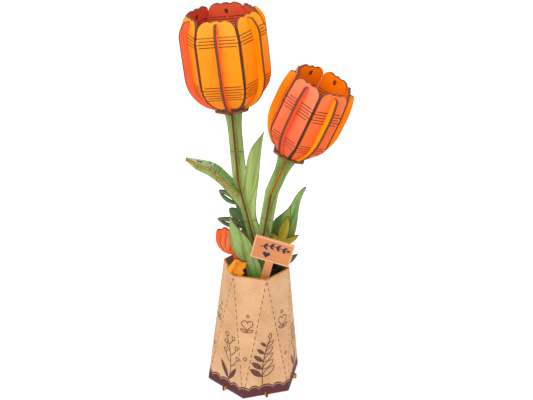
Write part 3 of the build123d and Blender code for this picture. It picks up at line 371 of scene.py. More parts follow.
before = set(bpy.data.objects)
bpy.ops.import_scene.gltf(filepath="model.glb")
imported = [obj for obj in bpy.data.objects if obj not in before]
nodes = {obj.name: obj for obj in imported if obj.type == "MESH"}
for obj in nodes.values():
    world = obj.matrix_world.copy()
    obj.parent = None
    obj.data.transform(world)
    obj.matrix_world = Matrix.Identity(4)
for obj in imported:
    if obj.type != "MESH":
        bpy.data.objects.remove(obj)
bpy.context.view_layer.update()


def linear(colour):
    """Turns an sRGB hex colour into linear values."""
    values = [int(colour[i:i + 2], 16) / 255 for i in (1, 3, 5)]
    return (*[v / 12.92 if v <= 0.04045 else ((v + 0.055) / 1.055) ** 2.4 for v in values], 1.0)


def add(tree, kind, sockets=None, **settings):
    """Adds a node; sockets gives its inputs as values or as the outputs that feed them."""
    node = tree.nodes.new("ShaderNode" + kind)
    for name, value in settings.items():
        setattr(node, name, value)
    for socket, value in (sockets or {}).items():
        if isinstance(value, bpy.types.NodeSocket):
            tree.links.new(value, node.inputs[socket])
        else:
            node.inputs[socket].default_value = value
    return node


def colour_stops(node, stops):
    """Sets the stops of a colour ramp and returns its colour."""
    elements = node.color_ramp.elements
    elements.remove(elements[-1])
    elements[0].position = stops[0][0]
    elements[0].color = linear(stops[0][1])
    for place, colour in stops[1:]:
        elements.new(place).color = linear(colour)
    return node.outputs[0]


def new_material(name):
    """An empty node material: the material, its tree and its shader, which feeds the output."""
    material = bpy.data.materials.new(name)
    material.use_nodes = True
    tree = material.node_tree
    tree.nodes.clear()
    shader = add(tree, "BsdfPrincipled")
    add(tree, "OutputMaterial", {"Surface": shader.outputs[0]})
    return material, tree, shader


def turned(*steps):
    """The rotation of a piece's own frame, from turns about its axes."""
    matrix = Matrix.Identity(3)
    for axis, angle in steps:
        matrix = matrix @ Matrix.Rotation(radians(angle), 3, axis)
    return matrix.to_euler()


def piece_space(tree, place, turn):
    """Object coordinates in millimetres and object normals, both seen in a piece's own frame."""
    source = add(tree, "TexCoord")
    point = add(tree, "Mapping", {
        "Vector": source.outputs["Object"],
        "Location": Vector(place) * MM,
        "Rotation": turn,
        "Scale": (MM, MM, MM),
    }, vector_type="TEXTURE")
    normal = add(tree, "Mapping", {
        "Vector": source.outputs["Normal"],
        "Rotation": turn,
    }, vector_type="TEXTURE")
    return point.outputs[0], normal.outputs[0]


def brushed_print(tree, point, stops, width, length):
    """A painted print: long soft brush strokes along Z between a few colours."""
    stretched = add(tree, "Mapping", {"Vector": point, "Scale": (1 / width, 1 / width, 1 / length)})
    strokes = add(tree, "TexNoise", {
        "Vector": stretched.outputs[0],
        "Scale": 1.0,
        "Detail": STROKE_DETAIL,
        "Roughness": STROKE_ROUGHNESS,
    })
    return colour_stops(add(tree, "ValToRGB", {"Fac": strokes.outputs[0]}), stops)


def scorch(tree, reach):
    """The strip along each cut: 1 at the cut and 0 where the laser's heat no longer reached."""
    rounded = add(tree, "Bevel", {"Radius": reach * MM}, samples=SCORCH_SAMPLES)
    surface = add(tree, "NewGeometry")
    likeness = add(tree, "VectorMath", {
        0: rounded.outputs[0],
        1: surface.outputs["Normal"],
    }, operation="DOT_PRODUCT")
    return add(tree, "MapRange", {
        "Value": likeness.outputs["Value"],
        "From Min": SCORCH_NONE,
        "From Max": SCORCH_FULL,
    }).outputs[0]


def edge_colour(tree, point, burnt, core, rim):
    """Laser-cut plywood edge: a burnt core between rims along the faces, uneven with soot."""
    soot = add(tree, "TexNoise", {"Vector": point, "Scale": 1 / SOOT_PATCH, "Detail": SOOT_DETAIL})
    spread = add(tree, "MapRange", {
        "Value": soot.outputs[0],
        "From Min": NOISE_LOW,
        "From Max": NOISE_HIGH,
        "To Min": SOOT_DARK,
        "To Max": SOOT_LIGHT,
    })
    edge = add(tree, "Mix", {SHARE: burnt, FIRST: linear(core), SECOND: linear(rim)}, data_type="RGBA")
    return add(tree, "Mix", {
        SHARE: 1.0,
        FIRST: edge.outputs[MIXED],
        SECOND: spread.outputs[0],
    }, data_type="RGBA", blend_type="MULTIPLY").outputs[MIXED]


def finish_ply(tree, shader, point, face, print_colour, rim=EDGE_RIM, core=EDGE_CORE, burn=SCORCH_BROWN,
               heat=SCORCH_HEAT, reach=SCORCH_WIDTH):
    """Joins print and cut edges: grain under a satin print, scorched along the cuts, and dull burnt edges."""
    stretched = add(tree, "Mapping", {
        "Vector": point,
        "Scale": (1 / GRAIN_WIDTH, 1 / GRAIN_WIDTH, 1 / GRAIN_LENGTH),
    })
    grain = add(tree, "TexNoise", {"Vector": stretched.outputs[0], "Scale": 1.0, "Detail": GRAIN_DETAIL})
    shade = add(tree, "MapRange", {
        "Value": grain.outputs[0],
        "From Min": NOISE_LOW,
        "From Max": NOISE_HIGH,
        "To Min": GRAIN_DARK,
        "To Max": GRAIN_LIGHT,
    })
    grained = add(tree, "Mix", {
        SHARE: 1.0,
        FIRST: print_colour,
        SECOND: shade.outputs[0],
    }, data_type="RGBA", blend_type="MULTIPLY")
    burnt = scorch(tree, reach)
    strength = add(tree, "Math", {0: burnt, 1: heat}, operation="MULTIPLY")
    printed = add(tree, "Mix", {
        SHARE: strength.outputs[0],
        FIRST: grained.outputs[MIXED],
        SECOND: linear(burn),
    }, data_type="RGBA")
    colour = add(tree, "Mix", {
        SHARE: face,
        FIRST: edge_colour(tree, point, burnt, core, rim),
        SECOND: printed.outputs[MIXED],
    }, data_type="RGBA")
    rough = add(tree, "MapRange", {"Value": face, "To Min": EDGE_ROUGHNESS, "To Max": PRINT_ROUGHNESS})
    bump = add(tree, "Bump", {
        "Strength": GRAIN_BUMP,
        "Distance": GRAIN_DEPTH * MM,
        "Height": grain.outputs[0],
    })
    tree.links.new(colour.outputs[MIXED], shader.inputs["Base Color"])
    tree.links.new(rough.outputs[0], shader.inputs["Roughness"])
    tree.links.new(bump.outputs[0], shader.inputs["Normal"])
    shader.inputs["Specular IOR Level"].default_value = PLY_SHINE


def vein(tree, point, foot, tip, bow, half):
    """A printed line from foot to tip in a plate's X and Z, bowed sideways: 1 on the line, 0 beside it."""
    along = Vector((tip[0] - foot[0], tip[1] - foot[1]))
    lean = Vector((0, 1)).angle_signed(along)
    own = add(tree, "Mapping", {
        "Vector": point,
        "Location": (foot[0], 0, foot[1]),
        "Rotation": (0, lean, 0),
    }, vector_type="TEXTURE")
    parts = add(tree, "SeparateXYZ", {"Vector": own.outputs[0]})
    share = add(tree, "Math", {0: parts.outputs["Z"], 1: along.length}, operation="DIVIDE")
    left = add(tree, "Math", {0: 1.0, 1: share.outputs[0]}, operation="SUBTRACT")
    rise = add(tree, "Math", {0: share.outputs[0], 1: left.outputs[0]}, operation="MULTIPLY")
    offset = add(tree, "Math", {
        0: rise.outputs[0],
        1: -4 * bow,
        2: parts.outputs["X"],
    }, operation="MULTIPLY_ADD")
    away = add(tree, "Math", {0: offset.outputs[0]}, operation="ABSOLUTE")
    line = add(tree, "MapRange", {"Value": away.outputs[0], "From Min": half, "From Max": half / 2})
    within = add(tree, "Math", {0: share.outputs[0], 1: 0.5, 2: 0.5}, operation="COMPARE")
    return add(tree, "Math", {0: line.outputs[0], 1: within.outputs[0]}, operation="MULTIPLY").outputs[0]


def border_mark(tree, point, half_x, half_z, width):
    """A printed border along the sides of a board in its X and Z: 1 on the border, 0 inside it."""
    spot = add(tree, "SeparateXYZ", {"Vector": point})
    marks = []
    for axis, half in (("X", half_x), ("Z", half_z)):
        away = add(tree, "Math", {0: spot.outputs[axis]}, operation="ABSOLUTE")
        strip = add(tree, "Math", {
            0: away.outputs[0],
            1: half - width / 2,
            2: width / 2,
        }, operation="COMPARE")
        marks.append(strip.outputs[0])
    return add(tree, "Math", {0: marks[0], 1: marks[1]}, operation="MAXIMUM").outputs[0]


def faded(tree, point, colour, start, end, shade):
    """Turns a print into another colour between two heights on its plate, also used for painted shade near
    the soil.
    """
    height = add(tree, "SeparateXYZ", {"Vector": point}).outputs["Z"]
    share = add(tree, "MapRange", {"Value": height, "From Min": start, "From Max": end})
    return add(tree, "Mix", {
        SHARE: share.outputs[0],
        FIRST: colour,
        SECOND: linear(shade),
    }, data_type="RGBA").outputs[MIXED]


def ply_material(name, stops, place=(0, 0, 0), turn=(), width=STROKE_WIDTH, length=STROKE_LENGTH, veins=(),
                 ink=VEIN_GREEN, fade=None, border=None, **edges):
    """A printed plywood board whose faces look along its own Y; its strokes and grain run along its own Z."""
    material, tree, shader = new_material(name)
    point, normal = piece_space(tree, place, turned(*turn))
    facing = add(tree, "SeparateXYZ", {"Vector": normal})
    flat = add(tree, "Math", {0: facing.outputs["Y"]}, operation="ABSOLUTE")
    face = add(tree, "Math", {0: flat.outputs[0], 1: FACE_LIMIT}, operation="GREATER_THAN")
    colour = brushed_print(tree, point, stops, width, length)
    if fade:
        colour = faded(tree, point, colour, *fade)
    marks = [vein(tree, point, *line) for line in veins]
    if border:
        marks.append(border_mark(tree, point, *border))
    for mark in marks:
        inked = add(tree, "Mix", {SHARE: mark, FIRST: colour, SECOND: linear(ink)}, data_type="RGBA")
        colour = inked.outputs[MIXED]
    finish_ply(tree, shader, point, face.outputs[0], colour, **edges)
    return material


def folded_angle(tree, spot):
    """The angle round a six-sided form's axis, and that angle folded into the form's first side."""
    angle = add(tree, "Math", {0: spot.outputs["Y"], 1: spot.outputs["X"]}, operation="ARCTAN2")
    half = radians(SIDE_ANGLE / 2)
    folded = add(tree, "Math", {0: angle.outputs[0], 1: half, 2: -half}, operation="WRAP")
    return angle.outputs[0], folded.outputs[0]


def sector(tree, point, normal):
    """Folds a flower's six sides into one: the outward and sideways parts of the normal, and the height."""
    spot = add(tree, "SeparateXYZ", {"Vector": point})
    angle, folded = folded_angle(tree, spot)
    middle = add(tree, "Math", {0: angle, 1: folded}, operation="SUBTRACT")
    cosine = add(tree, "Math", {0: middle.outputs[0]}, operation="COSINE")
    sine = add(tree, "Math", {0: middle.outputs[0]}, operation="SINE")
    minus = add(tree, "Math", {0: sine.outputs[0], 1: -1.0}, operation="MULTIPLY")
    outward = add(tree, "CombineXYZ", {"X": cosine.outputs[0], "Y": sine.outputs[0]})
    sideways = add(tree, "CombineXYZ", {"X": minus.outputs[0], "Y": cosine.outputs[0]})
    out = add(tree, "VectorMath", {0: normal, 1: outward.outputs[0]}, operation="DOT_PRODUCT")
    side = add(tree, "VectorMath", {0: normal, 1: sideways.outputs[0]}, operation="DOT_PRODUCT")
    return out.outputs["Value"], side.outputs["Value"], spot.outputs["Z"]


def two_faces(tree, part, limit):
    """Marks of a plate's two faces from one part of its normal: on both faces, and on the second one only."""
    first = add(tree, "Math", {0: part, 1: limit}, operation="GREATER_THAN")
    second = add(tree, "Math", {0: part, 1: -limit}, operation="LESS_THAN")
    both = add(tree, "Math", {0: first.outputs[0], 1: second.outputs[0]}, operation="ADD")
    return both.outputs[0], second.outputs[0]


def petal_material(name, flower, outer, inner):
    """Printed plywood petal: a wash outside, another inside, both with painted light at the top and painted
    shade at the foot.
    """
    material, tree, shader = new_material(name)
    turn = turned(("Y", flower.lean), ("Z", flower.turn))
    point, normal = piece_space(tree, flower.foot, turn)
    out, _, rise = sector(tree, point, normal)
    face, inside = two_faces(tree, out, PETAL_FACE_LIMIT)
    # The share of the height sets painted shade at the foot and painted light at the top of each wash
    share = add(tree, "Math", {0: rise, 1: flower.height}, operation="DIVIDE")
    wash = add(tree, "TexNoise", {"Vector": point, "Scale": 1 / WASH_PATCH, "Detail": WASH_DETAIL})
    blend = add(tree, "Math", {
        0: wash.outputs[0],
        1: WASH_SWAY,
        2: share.outputs[0],
    }, operation="MULTIPLY_ADD")
    level = add(tree, "Math", {0: blend.outputs[0], 1: WASH_TOP}, operation="DIVIDE")
    outer_colour = colour_stops(add(tree, "ValToRGB", {"Fac": level.outputs[0]}), outer)
    inner_colour = colour_stops(add(tree, "ValToRGB", {"Fac": level.outputs[0]}), inner)
    colour = add(tree, "Mix", {SHARE: inside, FIRST: outer_colour, SECOND: inner_colour}, data_type="RGBA")
    finish_ply(tree, shader, point, face, colour.outputs[MIXED], **PETAL_EDGE)
    return material


def fin_material(name, flower, left_stops, right_stops):
    """Printed plywood fin: one colour on each side, burnt brown round its outline."""
    material, tree, shader = new_material(name)
    turn = turned(("Y", flower.lean), ("Z", flower.turn))
    point, normal = piece_space(tree, flower.foot, turn)
    _, side, _ = sector(tree, point, normal)
    face, on_right = two_faces(tree, side, FACE_LIMIT)
    left = brushed_print(tree, point, left_stops, FIN_STROKE_WIDTH, FIN_STROKE_LENGTH)
    right = brushed_print(tree, point, right_stops, FIN_STROKE_WIDTH, FIN_STROKE_LENGTH)
    colour = add(tree, "Mix", {SHARE: on_right, FIRST: left, SECOND: right}, data_type="RGBA")
    finish_ply(tree, shader, point, face, colour.outputs[MIXED], **FIN_EDGE)
    return material


def crease_marks(tree, aside, height):
    """The perforated creases between the card's facets: 1 on a dash, 0 elsewhere."""
    crease_rate = -VASE_TOP / 2 / VASE_HEIGHT
    off_crease = add(tree, "Math", {0: height, 1: crease_rate, 2: aside}, operation="MULTIPLY_ADD")
    near = add(tree, "Math", {0: off_crease.outputs[0], 1: 0.0, 2: CREASE_HALF}, operation="COMPARE")
    step = add(tree, "Math", {0: height, 1: CREASE_PITCH}, operation="MODULO")
    dash = add(tree, "Math", {0: step.outputs[0], 1: CREASE_DASH}, operation="LESS_THAN")
    return add(tree, "Math", {0: near.outputs[0], 1: dash.outputs[0]}, operation="MULTIPLY").outputs[0]


def border_marks(tree, aside, height):
    """The dark scalloped border at the card's foot, with a fine bare line in it: 1 where it is dark."""
    hump = add(tree, "Math", {0: aside, 1: SCALLOP_HALF}, operation="PINGPONG")
    square = add(tree, "Math", {0: hump.outputs[0], 1: hump.outputs[0]}, operation="MULTIPLY")
    dome = add(tree, "Math", {
        0: square.outputs[0],
        1: -SCALLOP_FALL,
        2: BORDER_HEIGHT,
    }, operation="MULTIPLY_ADD")
    over = add(tree, "Math", {0: height, 1: dome.outputs[0]}, operation="SUBTRACT")
    border = add(tree, "Math", {0: over.outputs[0], 1: 0.0}, operation="LESS_THAN")
    line = add(tree, "Math", {
        0: over.outputs[0],
        1: -BORDER_LINE_DEPTH,
        2: BORDER_LINE_HALF,
    }, operation="COMPARE")
    return add(tree, "Math", {0: border.outputs[0], 1: line.outputs[0]}, operation="SUBTRACT").outputs[0]


def rim_marks(tree, normal, height):
    """The card's cut rim: 1 on the cut and on the stain just below it."""
    facing = add(tree, "SeparateXYZ", {"Vector": normal})
    top = add(tree, "Math", {0: facing.outputs["Z"], 1: FACE_LIMIT}, operation="GREATER_THAN")
    rim = add(tree, "Math", {0: height, 1: VASE_HEIGHT - RIM_STAIN}, operation="GREATER_THAN")
    return add(tree, "Math", {0: top.outputs[0], 1: rim.outputs[0]}, operation="MAXIMUM").outputs[0]


def kraft_material():
    """Kraft card: matt brown fibre in faint clouds, perforated creases, a browner rim and a dark foot."""
    material, tree, shader = new_material("printed_kraft_card")
    point, normal = piece_space(tree, (0, 0, VASE_LIFT), turned(("Z", VASE_TURN + FRONT_ANGLE)))
    spot = add(tree, "SeparateXYZ", {"Vector": point})
    height = spot.outputs["Z"]
    _, folded = folded_angle(tree, spot)
    flat = add(tree, "CombineXYZ", {"X": spot.outputs["X"], "Y": spot.outputs["Y"]})
    radius = add(tree, "VectorMath", {0: flat.outputs[0]}, operation="LENGTH")
    sine = add(tree, "Math", {0: folded}, operation="SINE")
    across = add(tree, "Math", {0: sine.outputs[0], 1: radius.outputs["Value"]}, operation="MULTIPLY")
    aside = add(tree, "Math", {0: across.outputs[0]}, operation="ABSOLUTE").outputs[0]

    fibre = add(tree, "TexNoise", {
        "Vector": point,
        "Scale": 1 / FIBRE_LENGTH,
        "Detail": FIBRE_DETAIL,
        "Roughness": FIBRE_ROUGHNESS,
    })
    cloud = add(tree, "TexNoise", {"Vector": point, "Scale": 1 / CLOUD_PATCH, "Detail": CLOUD_DETAIL})
    mixed = add(tree, "Math", {
        0: cloud.outputs[0],
        1: CLOUD_SHARE,
        2: fibre.outputs[0],
    }, operation="MULTIPLY_ADD")
    share = add(tree, "Math", {0: mixed.outputs[0], 1: 1 + CLOUD_SHARE}, operation="DIVIDE")
    colour = colour_stops(add(tree, "ValToRGB", {"Fac": share.outputs[0]}), KRAFT)
    crease = crease_marks(tree, aside, height)
    layers = (
        (crease, CREASE_BROWN),
        (border_marks(tree, aside, height), BORDER_PLUM),
        (rim_marks(tree, normal, height), RIM_BROWN),
    )
    for mark, shade in layers:
        marked = add(tree, "Mix", {SHARE: mark, FIRST: colour, SECOND: linear(shade)}, data_type="RGBA")
        colour = marked.outputs[MIXED]

    relief = add(tree, "Math", {0: crease, 1: -CREASE_SINK, 2: fibre.outputs[0]}, operation="MULTIPLY_ADD")
    bump = add(tree, "Bump", {
        "Strength": KRAFT_BUMP,
        "Distance": KRAFT_DEPTH * MM,
        "Height": relief.outputs[0],
    })
    tree.links.new(colour, shader.inputs["Base Color"])
    tree.links.new(bump.outputs[0], shader.inputs["Normal"])
    shader.inputs["Roughness"].default_value = KRAFT_ROUGHNESS
    shader.inputs["Specular IOR Level"].default_value = KRAFT_SHINE
    return material


def ink_material(name, stops):
    """Offset ink on an absorbent board: matt, and a little uneven where the fibres took less of it."""
    material, tree, shader = new_material(name)
    point, _ = piece_space(tree, (0, 0, 0), turned())
    cover = add(tree, "TexNoise", {"Vector": point, "Scale": 1 / INK_PATCH, "Detail": INK_DETAIL})
    colour = colour_stops(add(tree, "ValToRGB", {"Fac": cover.outputs[0]}), stops)
    tree.links.new(colour, shader.inputs["Base Color"])
    shader.inputs["Roughness"].default_value = INK_ROUGHNESS
    shader.inputs["Specular IOR Level"].default_value = INK_SHINE
    return material


def upright(lean):
    """Turn of a plate that faces front and leans sideways."""
    return [("Y", lean)]


def crosswise(lean):
    """Turn of a cross plate, whose faces look sideways."""
    return [("Y", lean), ("Z", 90)]


def lying(lean):
    """Turn of a board that lies across a stem or in the vase."""
    return [("Y", lean), ("X", 90)]


def lengthwise(lean):
    """Turn of a lying board whose grain runs along it, to the side."""
    return [("Y", lean), ("X", 90), ("Y", 90)]


def stem_finishes():
    """Finishes of the plates of both stems, with the tall leaf and the bent leaf."""
    return {
        "root_plate": ply_material("green_printed_ply_root", STEM_GREEN, turn=upright(LEFT_LOWER_LEAN)),
        "left_stem_upper": ply_material(
            "green_printed_ply_left_stem", STEM_GREEN, turn=upright(LEFT_UPPER_LEAN)),
        "left_stem_middle": ply_material(
            "green_printed_ply_tall_leaf", LEAF_GREEN, LEFT_KINK, upright(TALL_LEAF_STROKE_LEAN),
            width=TALL_LEAF_STROKE_WIDTH, veins=TALL_LEAF_VEINS, ink=TALL_LEAF_VEIN),
        "right_stem_upper": ply_material(
            "green_printed_ply_right_stem", STEM_GREEN, turn=upright(RIGHT_STEM_STROKE_LEAN)),
        "left_cross_upper": ply_material(
            "green_printed_ply_left_cross", STEM_GREEN, turn=crosswise(LEFT_UPPER_LEAN), **CROSS_EDGE),
        "left_cross_lower": ply_material(
            "green_printed_ply_left_cross_foot", STEM_GREEN, turn=crosswise(LEFT_LOWER_LEAN), **CROSS_EDGE),
        "right_cross_upper": ply_material(
            "green_printed_ply_right_cross", STEM_GREEN, turn=crosswise(RIGHT_UPPER_LEAN), **WARM_EDGE),
        "right_cross_lower": ply_material(
            "green_printed_ply_right_cross_foot", STEM_GREEN, turn=crosswise(RIGHT_LOWER_LEAN), **CROSS_EDGE),
        "left_leaf_blade": ply_material(
            "green_printed_ply_blade", BLADE_GREEN, LEFT_KINK, lengthwise(BLADE_LEAN),
            width=BLADE_STROKE_WIDTH, fade=BLADE_FADE, **BLADE_EDGE),
    }


def planted_finishes():
    """Finishes of what is planted beside the stems: leaves, sprigs, bud, blossom and sign."""
    return {
        "front_leaf": ply_material(
            "green_printed_ply_front_leaf", FRONT_GREEN, FRONT_LEAF_PLACE, upright(FRONT_LEAF_STROKE_LEAN),
            width=LEAF_STROKE_WIDTH, fade=FRONT_LEAF_FADE, veins=FRONT_LEAF_VEINS),
        "right_leaf": ply_material(
            "green_printed_ply_right_leaf", RIGHT_GREEN, RIGHT_LEAF_PLACE, upright(RIGHT_LEAF_STROKE_LEAN),
            width=LEAF_STROKE_WIDTH, fade=RIGHT_LEAF_PAINTED_SHADE, veins=RIGHT_LEAF_VEINS),
        "low_leaf": ply_material(
            "dark_green_printed_ply_low_leaf", DARK_GREEN, LOW_LEAF_PLACE, upright(LOW_LEAF_STROKE_LEAN),
            fade=LOW_LEAF_PAINTED_SHADE),
        "dark_sprig": ply_material(
            "dark_green_printed_ply_sprig", DARK_GREEN, turn=upright(DARK_SPRIG_STROKE_LEAN),
            fade=DARK_SPRIG_FADE, **DARK_SPRIG_EDGE),
        "olive_sprig": ply_material(
            "olive_printed_ply_sprig", OLIVE, OLIVE_SPRIG_PLACE, upright(OLIVE_SPRIG_STROKE_LEAN),
            width=FINE_STROKE_WIDTH, fade=OLIVE_SPRIG_PAINTED_SHADE, **OLIVE_SPRIG_EDGE),
        "bud": ply_material(
            "red_printed_ply_bud", BUD_RED, BUD_PLACE, upright(BUD_STROKE_LEAN),
            width=BUD_STROKE_WIDTH, length=BUD_STROKE_LENGTH, veins=BUD_VEINS, ink=BUD_VEIN, **BUD_EDGE),
        "blossom": ply_material(
            "yellow_printed_ply_blossom", BLOSSOM_YELLOW, BLOSSOM_PLACE, upright(BLOSSOM_STROKE_LEAN),
            width=BLOSSOM_STROKE_WIDTH, length=BLOSSOM_STROKE_LENGTH, **BLOSSOM_EDGE),
        "sign": ply_material(
            "peach_printed_ply_sign", PEACH, SIGN_PLACE, upright(SIGN_LEAN + 90), width=FINE_STROKE_WIDTH,
            border=(SIGN_HALF_HEIGHT, SIGN_HALF_WIDTH, SIGN_BORDER), ink=SIGN_PALE, **SIGN_EDGE),
    }


def vase_finishes():
    """Finishes of the card sleeve and of the frame inside it."""
    finishes = {
        "vase_wrap": kraft_material(),
        "base_plate": ply_material("bare_ply_base", BARE_WOOD, turn=lying(0)),
        "soil_plate": ply_material(
            "black_printed_ply_soil", SOIL, turn=lying(0), width=SOIL_CRUMB_WIDTH, length=SOIL_CRUMB_LENGTH),
    }
    for rib in range(SIDES):
        angle = FIRST_RIB_ANGLE + SIDE_ANGLE * rib + VASE_TURN
        finishes[f"frame_rib_{rib + 1}"] = ply_material(
            f"bare_ply_rib_{rib + 1}", BARE_WOOD, turn=[("Z", angle)], **RIB_EDGE)
    return finishes


def flower_finishes(flower):
    """Finishes of one tulip: petals, fins and collars."""
    name = flower.name
    # The front petal's outside is a lighter copy of the others': painted light where it faces the lamps
    front = petal_material(f"printed_ply_{name}_front_petal", flower, flower.front, flower.inside)
    petal = petal_material(f"printed_ply_{name}_petal", flower, flower.outside, flower.inside)
    # This petal's inside is a darker copy: painted shade inside a petal that lies in shade
    dark = petal_material(f"printed_ply_{name}_painted_shade_petal", flower, flower.outside, flower.dark_inside)
    fin = fin_material(f"printed_ply_{name}_fin", flower, SALMON_SIDE, AMBER_SIDE)
    finishes = {}
    for number in range(1, SIDES + 1):
        finishes[f"{name}_petal_{number}"] = {flower.front_petal: front, PAINTED_SHADE_PETAL: dark}.get(number, petal)
        finishes[f"{name}_fin_{number}"] = fin
    finishes[f"{name}_collar"] = ply_material(
        f"olive_printed_ply_{name}_collar", COLLAR_OLIVE, turn=lying(flower.lean), **COLLAR_EDGE)
    finishes[f"{name}_under_collar"] = ply_material(
        f"tan_printed_ply_{name}_under_collar", UNDER_TAN, turn=lying(flower.lean), **UNDER_COLLAR_EDGE)
    return finishes


def dress():
    """Gives every solid its finish."""
    finishes = stem_finishes() | planted_finishes() | vase_finishes()
    finishes |= flower_finishes(TALL_TULIP) | flower_finishes(SMALL_TULIP)
    finishes[f"small_tulip_fin_{FLIPPED_FIN}"] = fin_material(
        "printed_ply_small_tulip_flipped_fin", SMALL_TULIP, AMBER_SIDE, SALMON_SIDE)
    for name, material in finishes.items():
        for slot in nodes[name].material_slots:
            slot.material = material


def curve_points(start, end, bow, count=ARC_POINTS):
    """Points of a shallow arc from start to end, bowed to its left by a share of its length."""
    start = Vector(start)
    along = Vector(end) - start
    aside = Vector((-along.y, along.x))
    shares = [i / (count - 1) for i in range(count)]
    return [start + along * s + aside * (4 * bow * s * (1 - s)) for s in shares]


def leaf_stroke(foot, angle, length, width):
    """A closed almond outline that starts at foot and points along the angle."""
    tip = Vector(foot) + Vector((cos(radians(angle)), sin(radians(angle)))) * length
    bow = width / length / 2
    return curve_points(foot, tip, bow) + curve_points(tip, foot, bow)[1:-1], True


def ring_stroke(centre, radius):
    """A closed circle."""
    angles = [2 * pi * i / RING_POINTS for i in range(RING_POINTS)]
    return [Vector((centre[0] + radius * cos(a), centre[1] + radius * sin(a))) for a in angles], True


def heart_stroke(centre, size):
    """A closed heart, size wide, from the usual heart curve, which is 32 wide."""
    points = []
    for i in range(HEART_POINTS):
        a = 2 * pi * i / HEART_POINTS
        x = 16 * sin(a) ** 3
        y = 13 * cos(a) - 5 * cos(2 * a) - 2 * cos(3 * a) - cos(4 * a)
        points.append(Vector((centre[0] + x * size / 32, centre[1] + y * size / 32)))
    return points, True


def fern_strokes():
    """A fern as drawn lines and filled shapes: a bowed stem with pairs of leaves, filled on its left."""
    tip = (FERN_FOOT[0] + FERN_LEAN, FERN_FOOT[1] + FERN_HEIGHT)
    stem = curve_points(FERN_FOOT, tip, FERN_BOW, 2 * FERN_PAIRS + 3)
    tip_length = FERN_HEIGHT * FERN_TIP_LENGTH
    tip_width = FERN_HEIGHT * FERN_TIP_WIDTH
    drawn = [(stem, False), leaf_stroke(stem[-1], 90 - FERN_LEAN, tip_length, tip_width)]
    filled = []
    for pair in range(FERN_PAIRS):
        joint = stem[2 * pair + 2]
        length = FERN_HEIGHT * (FERN_LEAF_LENGTH - FERN_LEAF_SHRINK * pair / FERN_PAIRS)
        width = length * FERN_LEAF_WIDTH
        drawn.append(leaf_stroke(joint, FERN_LEAF_ANGLE, length, width))
        filled.append(leaf_stroke(joint, 180 - FERN_LEAF_ANGLE, length, width))
    return drawn, filled


def berry_strokes():
    """A berry branch as drawn lines and filled shapes: a bowed stem with stalked rings, and two leaves."""
    tip = (BERRY_FOOT[0] + BERRY_LEAN, BERRY_FOOT[1] + BERRY_HEIGHT)
    stem = curve_points(BERRY_FOOT, tip, BERRY_BOW, BERRY_STEM_POINTS)
    drawn = [(stem, False), ring_stroke(stem[-1] + Vector((0, BERRY_TOP_RADIUS)), BERRY_TOP_RADIUS)]
    for joint, side, reach in BERRY_STALKS:
        end = stem[joint] + Vector((side * reach * BERRY_STALK_SPREAD, reach))
        drawn.append((curve_points(stem[joint], end, -BERRY_STALK_BOW * side, BERRY_STALK_POINTS), False))
        drawn.append(ring_stroke(end + Vector((side * BERRY_ASIDE, BERRY_RISE)), BERRY_RADIUS))
    filled = [leaf_stroke(BERRY_FOOT, *leaf) for leaf in BERRY_LEAVES]
    return drawn, filled


def heart_strokes():
    """A heart over two leaves, with a ring above it and one far below."""
    x, y = HEART_PLACE
    strokes = [heart_stroke(HEART_PLACE, HEART_SIZE)]
    foot = (x, y - HEART_SIZE * HEART_LEAF_DROP)
    for side in (-1, 1):
        angle = 90 - side * HEART_LEAF_LEAN
        leaf = leaf_stroke(foot, angle, HEART_SIZE * HEART_LEAF_LENGTH, HEART_SIZE * HEART_LEAF_WIDTH)
        strokes.append(leaf)
    strokes.append(ring_stroke((x, y + HEART_SIZE * UPPER_RING_RISE), UPPER_RING_RADIUS))
    strokes.append(ring_stroke((x, y - HEART_SIZE * LOWER_RING_DROP), LOWER_RING_RADIUS))
    return strokes


def curve_mesh(strokes, filled):
    """Flat ink in millimetres from strokes: drawn lines, or filled shapes."""
    data = bpy.data.curves.new("ink", "CURVE")
    if filled:
        data.dimensions = "2D"
        data.fill_mode = "BOTH"
    else:
        data.dimensions = "3D"
        data.bevel_depth = INK_HALF
        data.bevel_resolution = 1
    for points, closed in strokes:
        spline = data.splines.new("POLY")
        spline.points.add(len(points) - 1)
        for target, point in zip(spline.points, points):
            target.co = (point.x, point.y, 0.0, 1.0)
        spline.use_cyclic_u = closed
    holder = bpy.data.objects.new("ink", data)
    mesh = bpy.data.meshes.new_from_object(holder)
    bpy.data.objects.remove(holder)
    bpy.data.curves.remove(data)
    return mesh


def ink_piece(name, layers, material, body):
    """One printed piece from layers of ink: strokes, whether they are filled, and their board's matrix."""
    build = bmesh.new()
    flatten = Matrix.Diagonal((1, 1, INK_FLATNESS, 1))
    lift = Matrix.Translation((0, 0, INK_LIFT))
    for strokes, filled, board in layers:
        mesh = curve_mesh(strokes, filled)
        mesh.transform(Matrix.Scale(MM, 4) @ board @ lift @ flatten)
        build.from_mesh(mesh)
        bpy.data.meshes.remove(mesh)
    mesh = bpy.data.meshes.new(name)
    build.to_mesh(mesh)
    build.free()
    mesh.materials.append(material)
    piece = bpy.data.objects.new(name, mesh)
    bpy.context.scene.collection.objects.link(piece)
    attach(piece, body)
    return piece


def board_matrix(place, right, up):
    """Matrix of a flat board: its origin, the way to the right on it and the way up on it."""
    right = right.normalized()
    up = up.normalized()
    matrix = Matrix((right, up, right.cross(up))).transposed().to_4x4()
    return Matrix.Translation(place) @ matrix


def vase_corner(radius, angle, height):
    """A corner of the vase, from its radius, its angle and its height."""
    turn = radians(angle + VASE_TURN)
    return Vector((radius * cos(turn), radius * sin(turn), height))


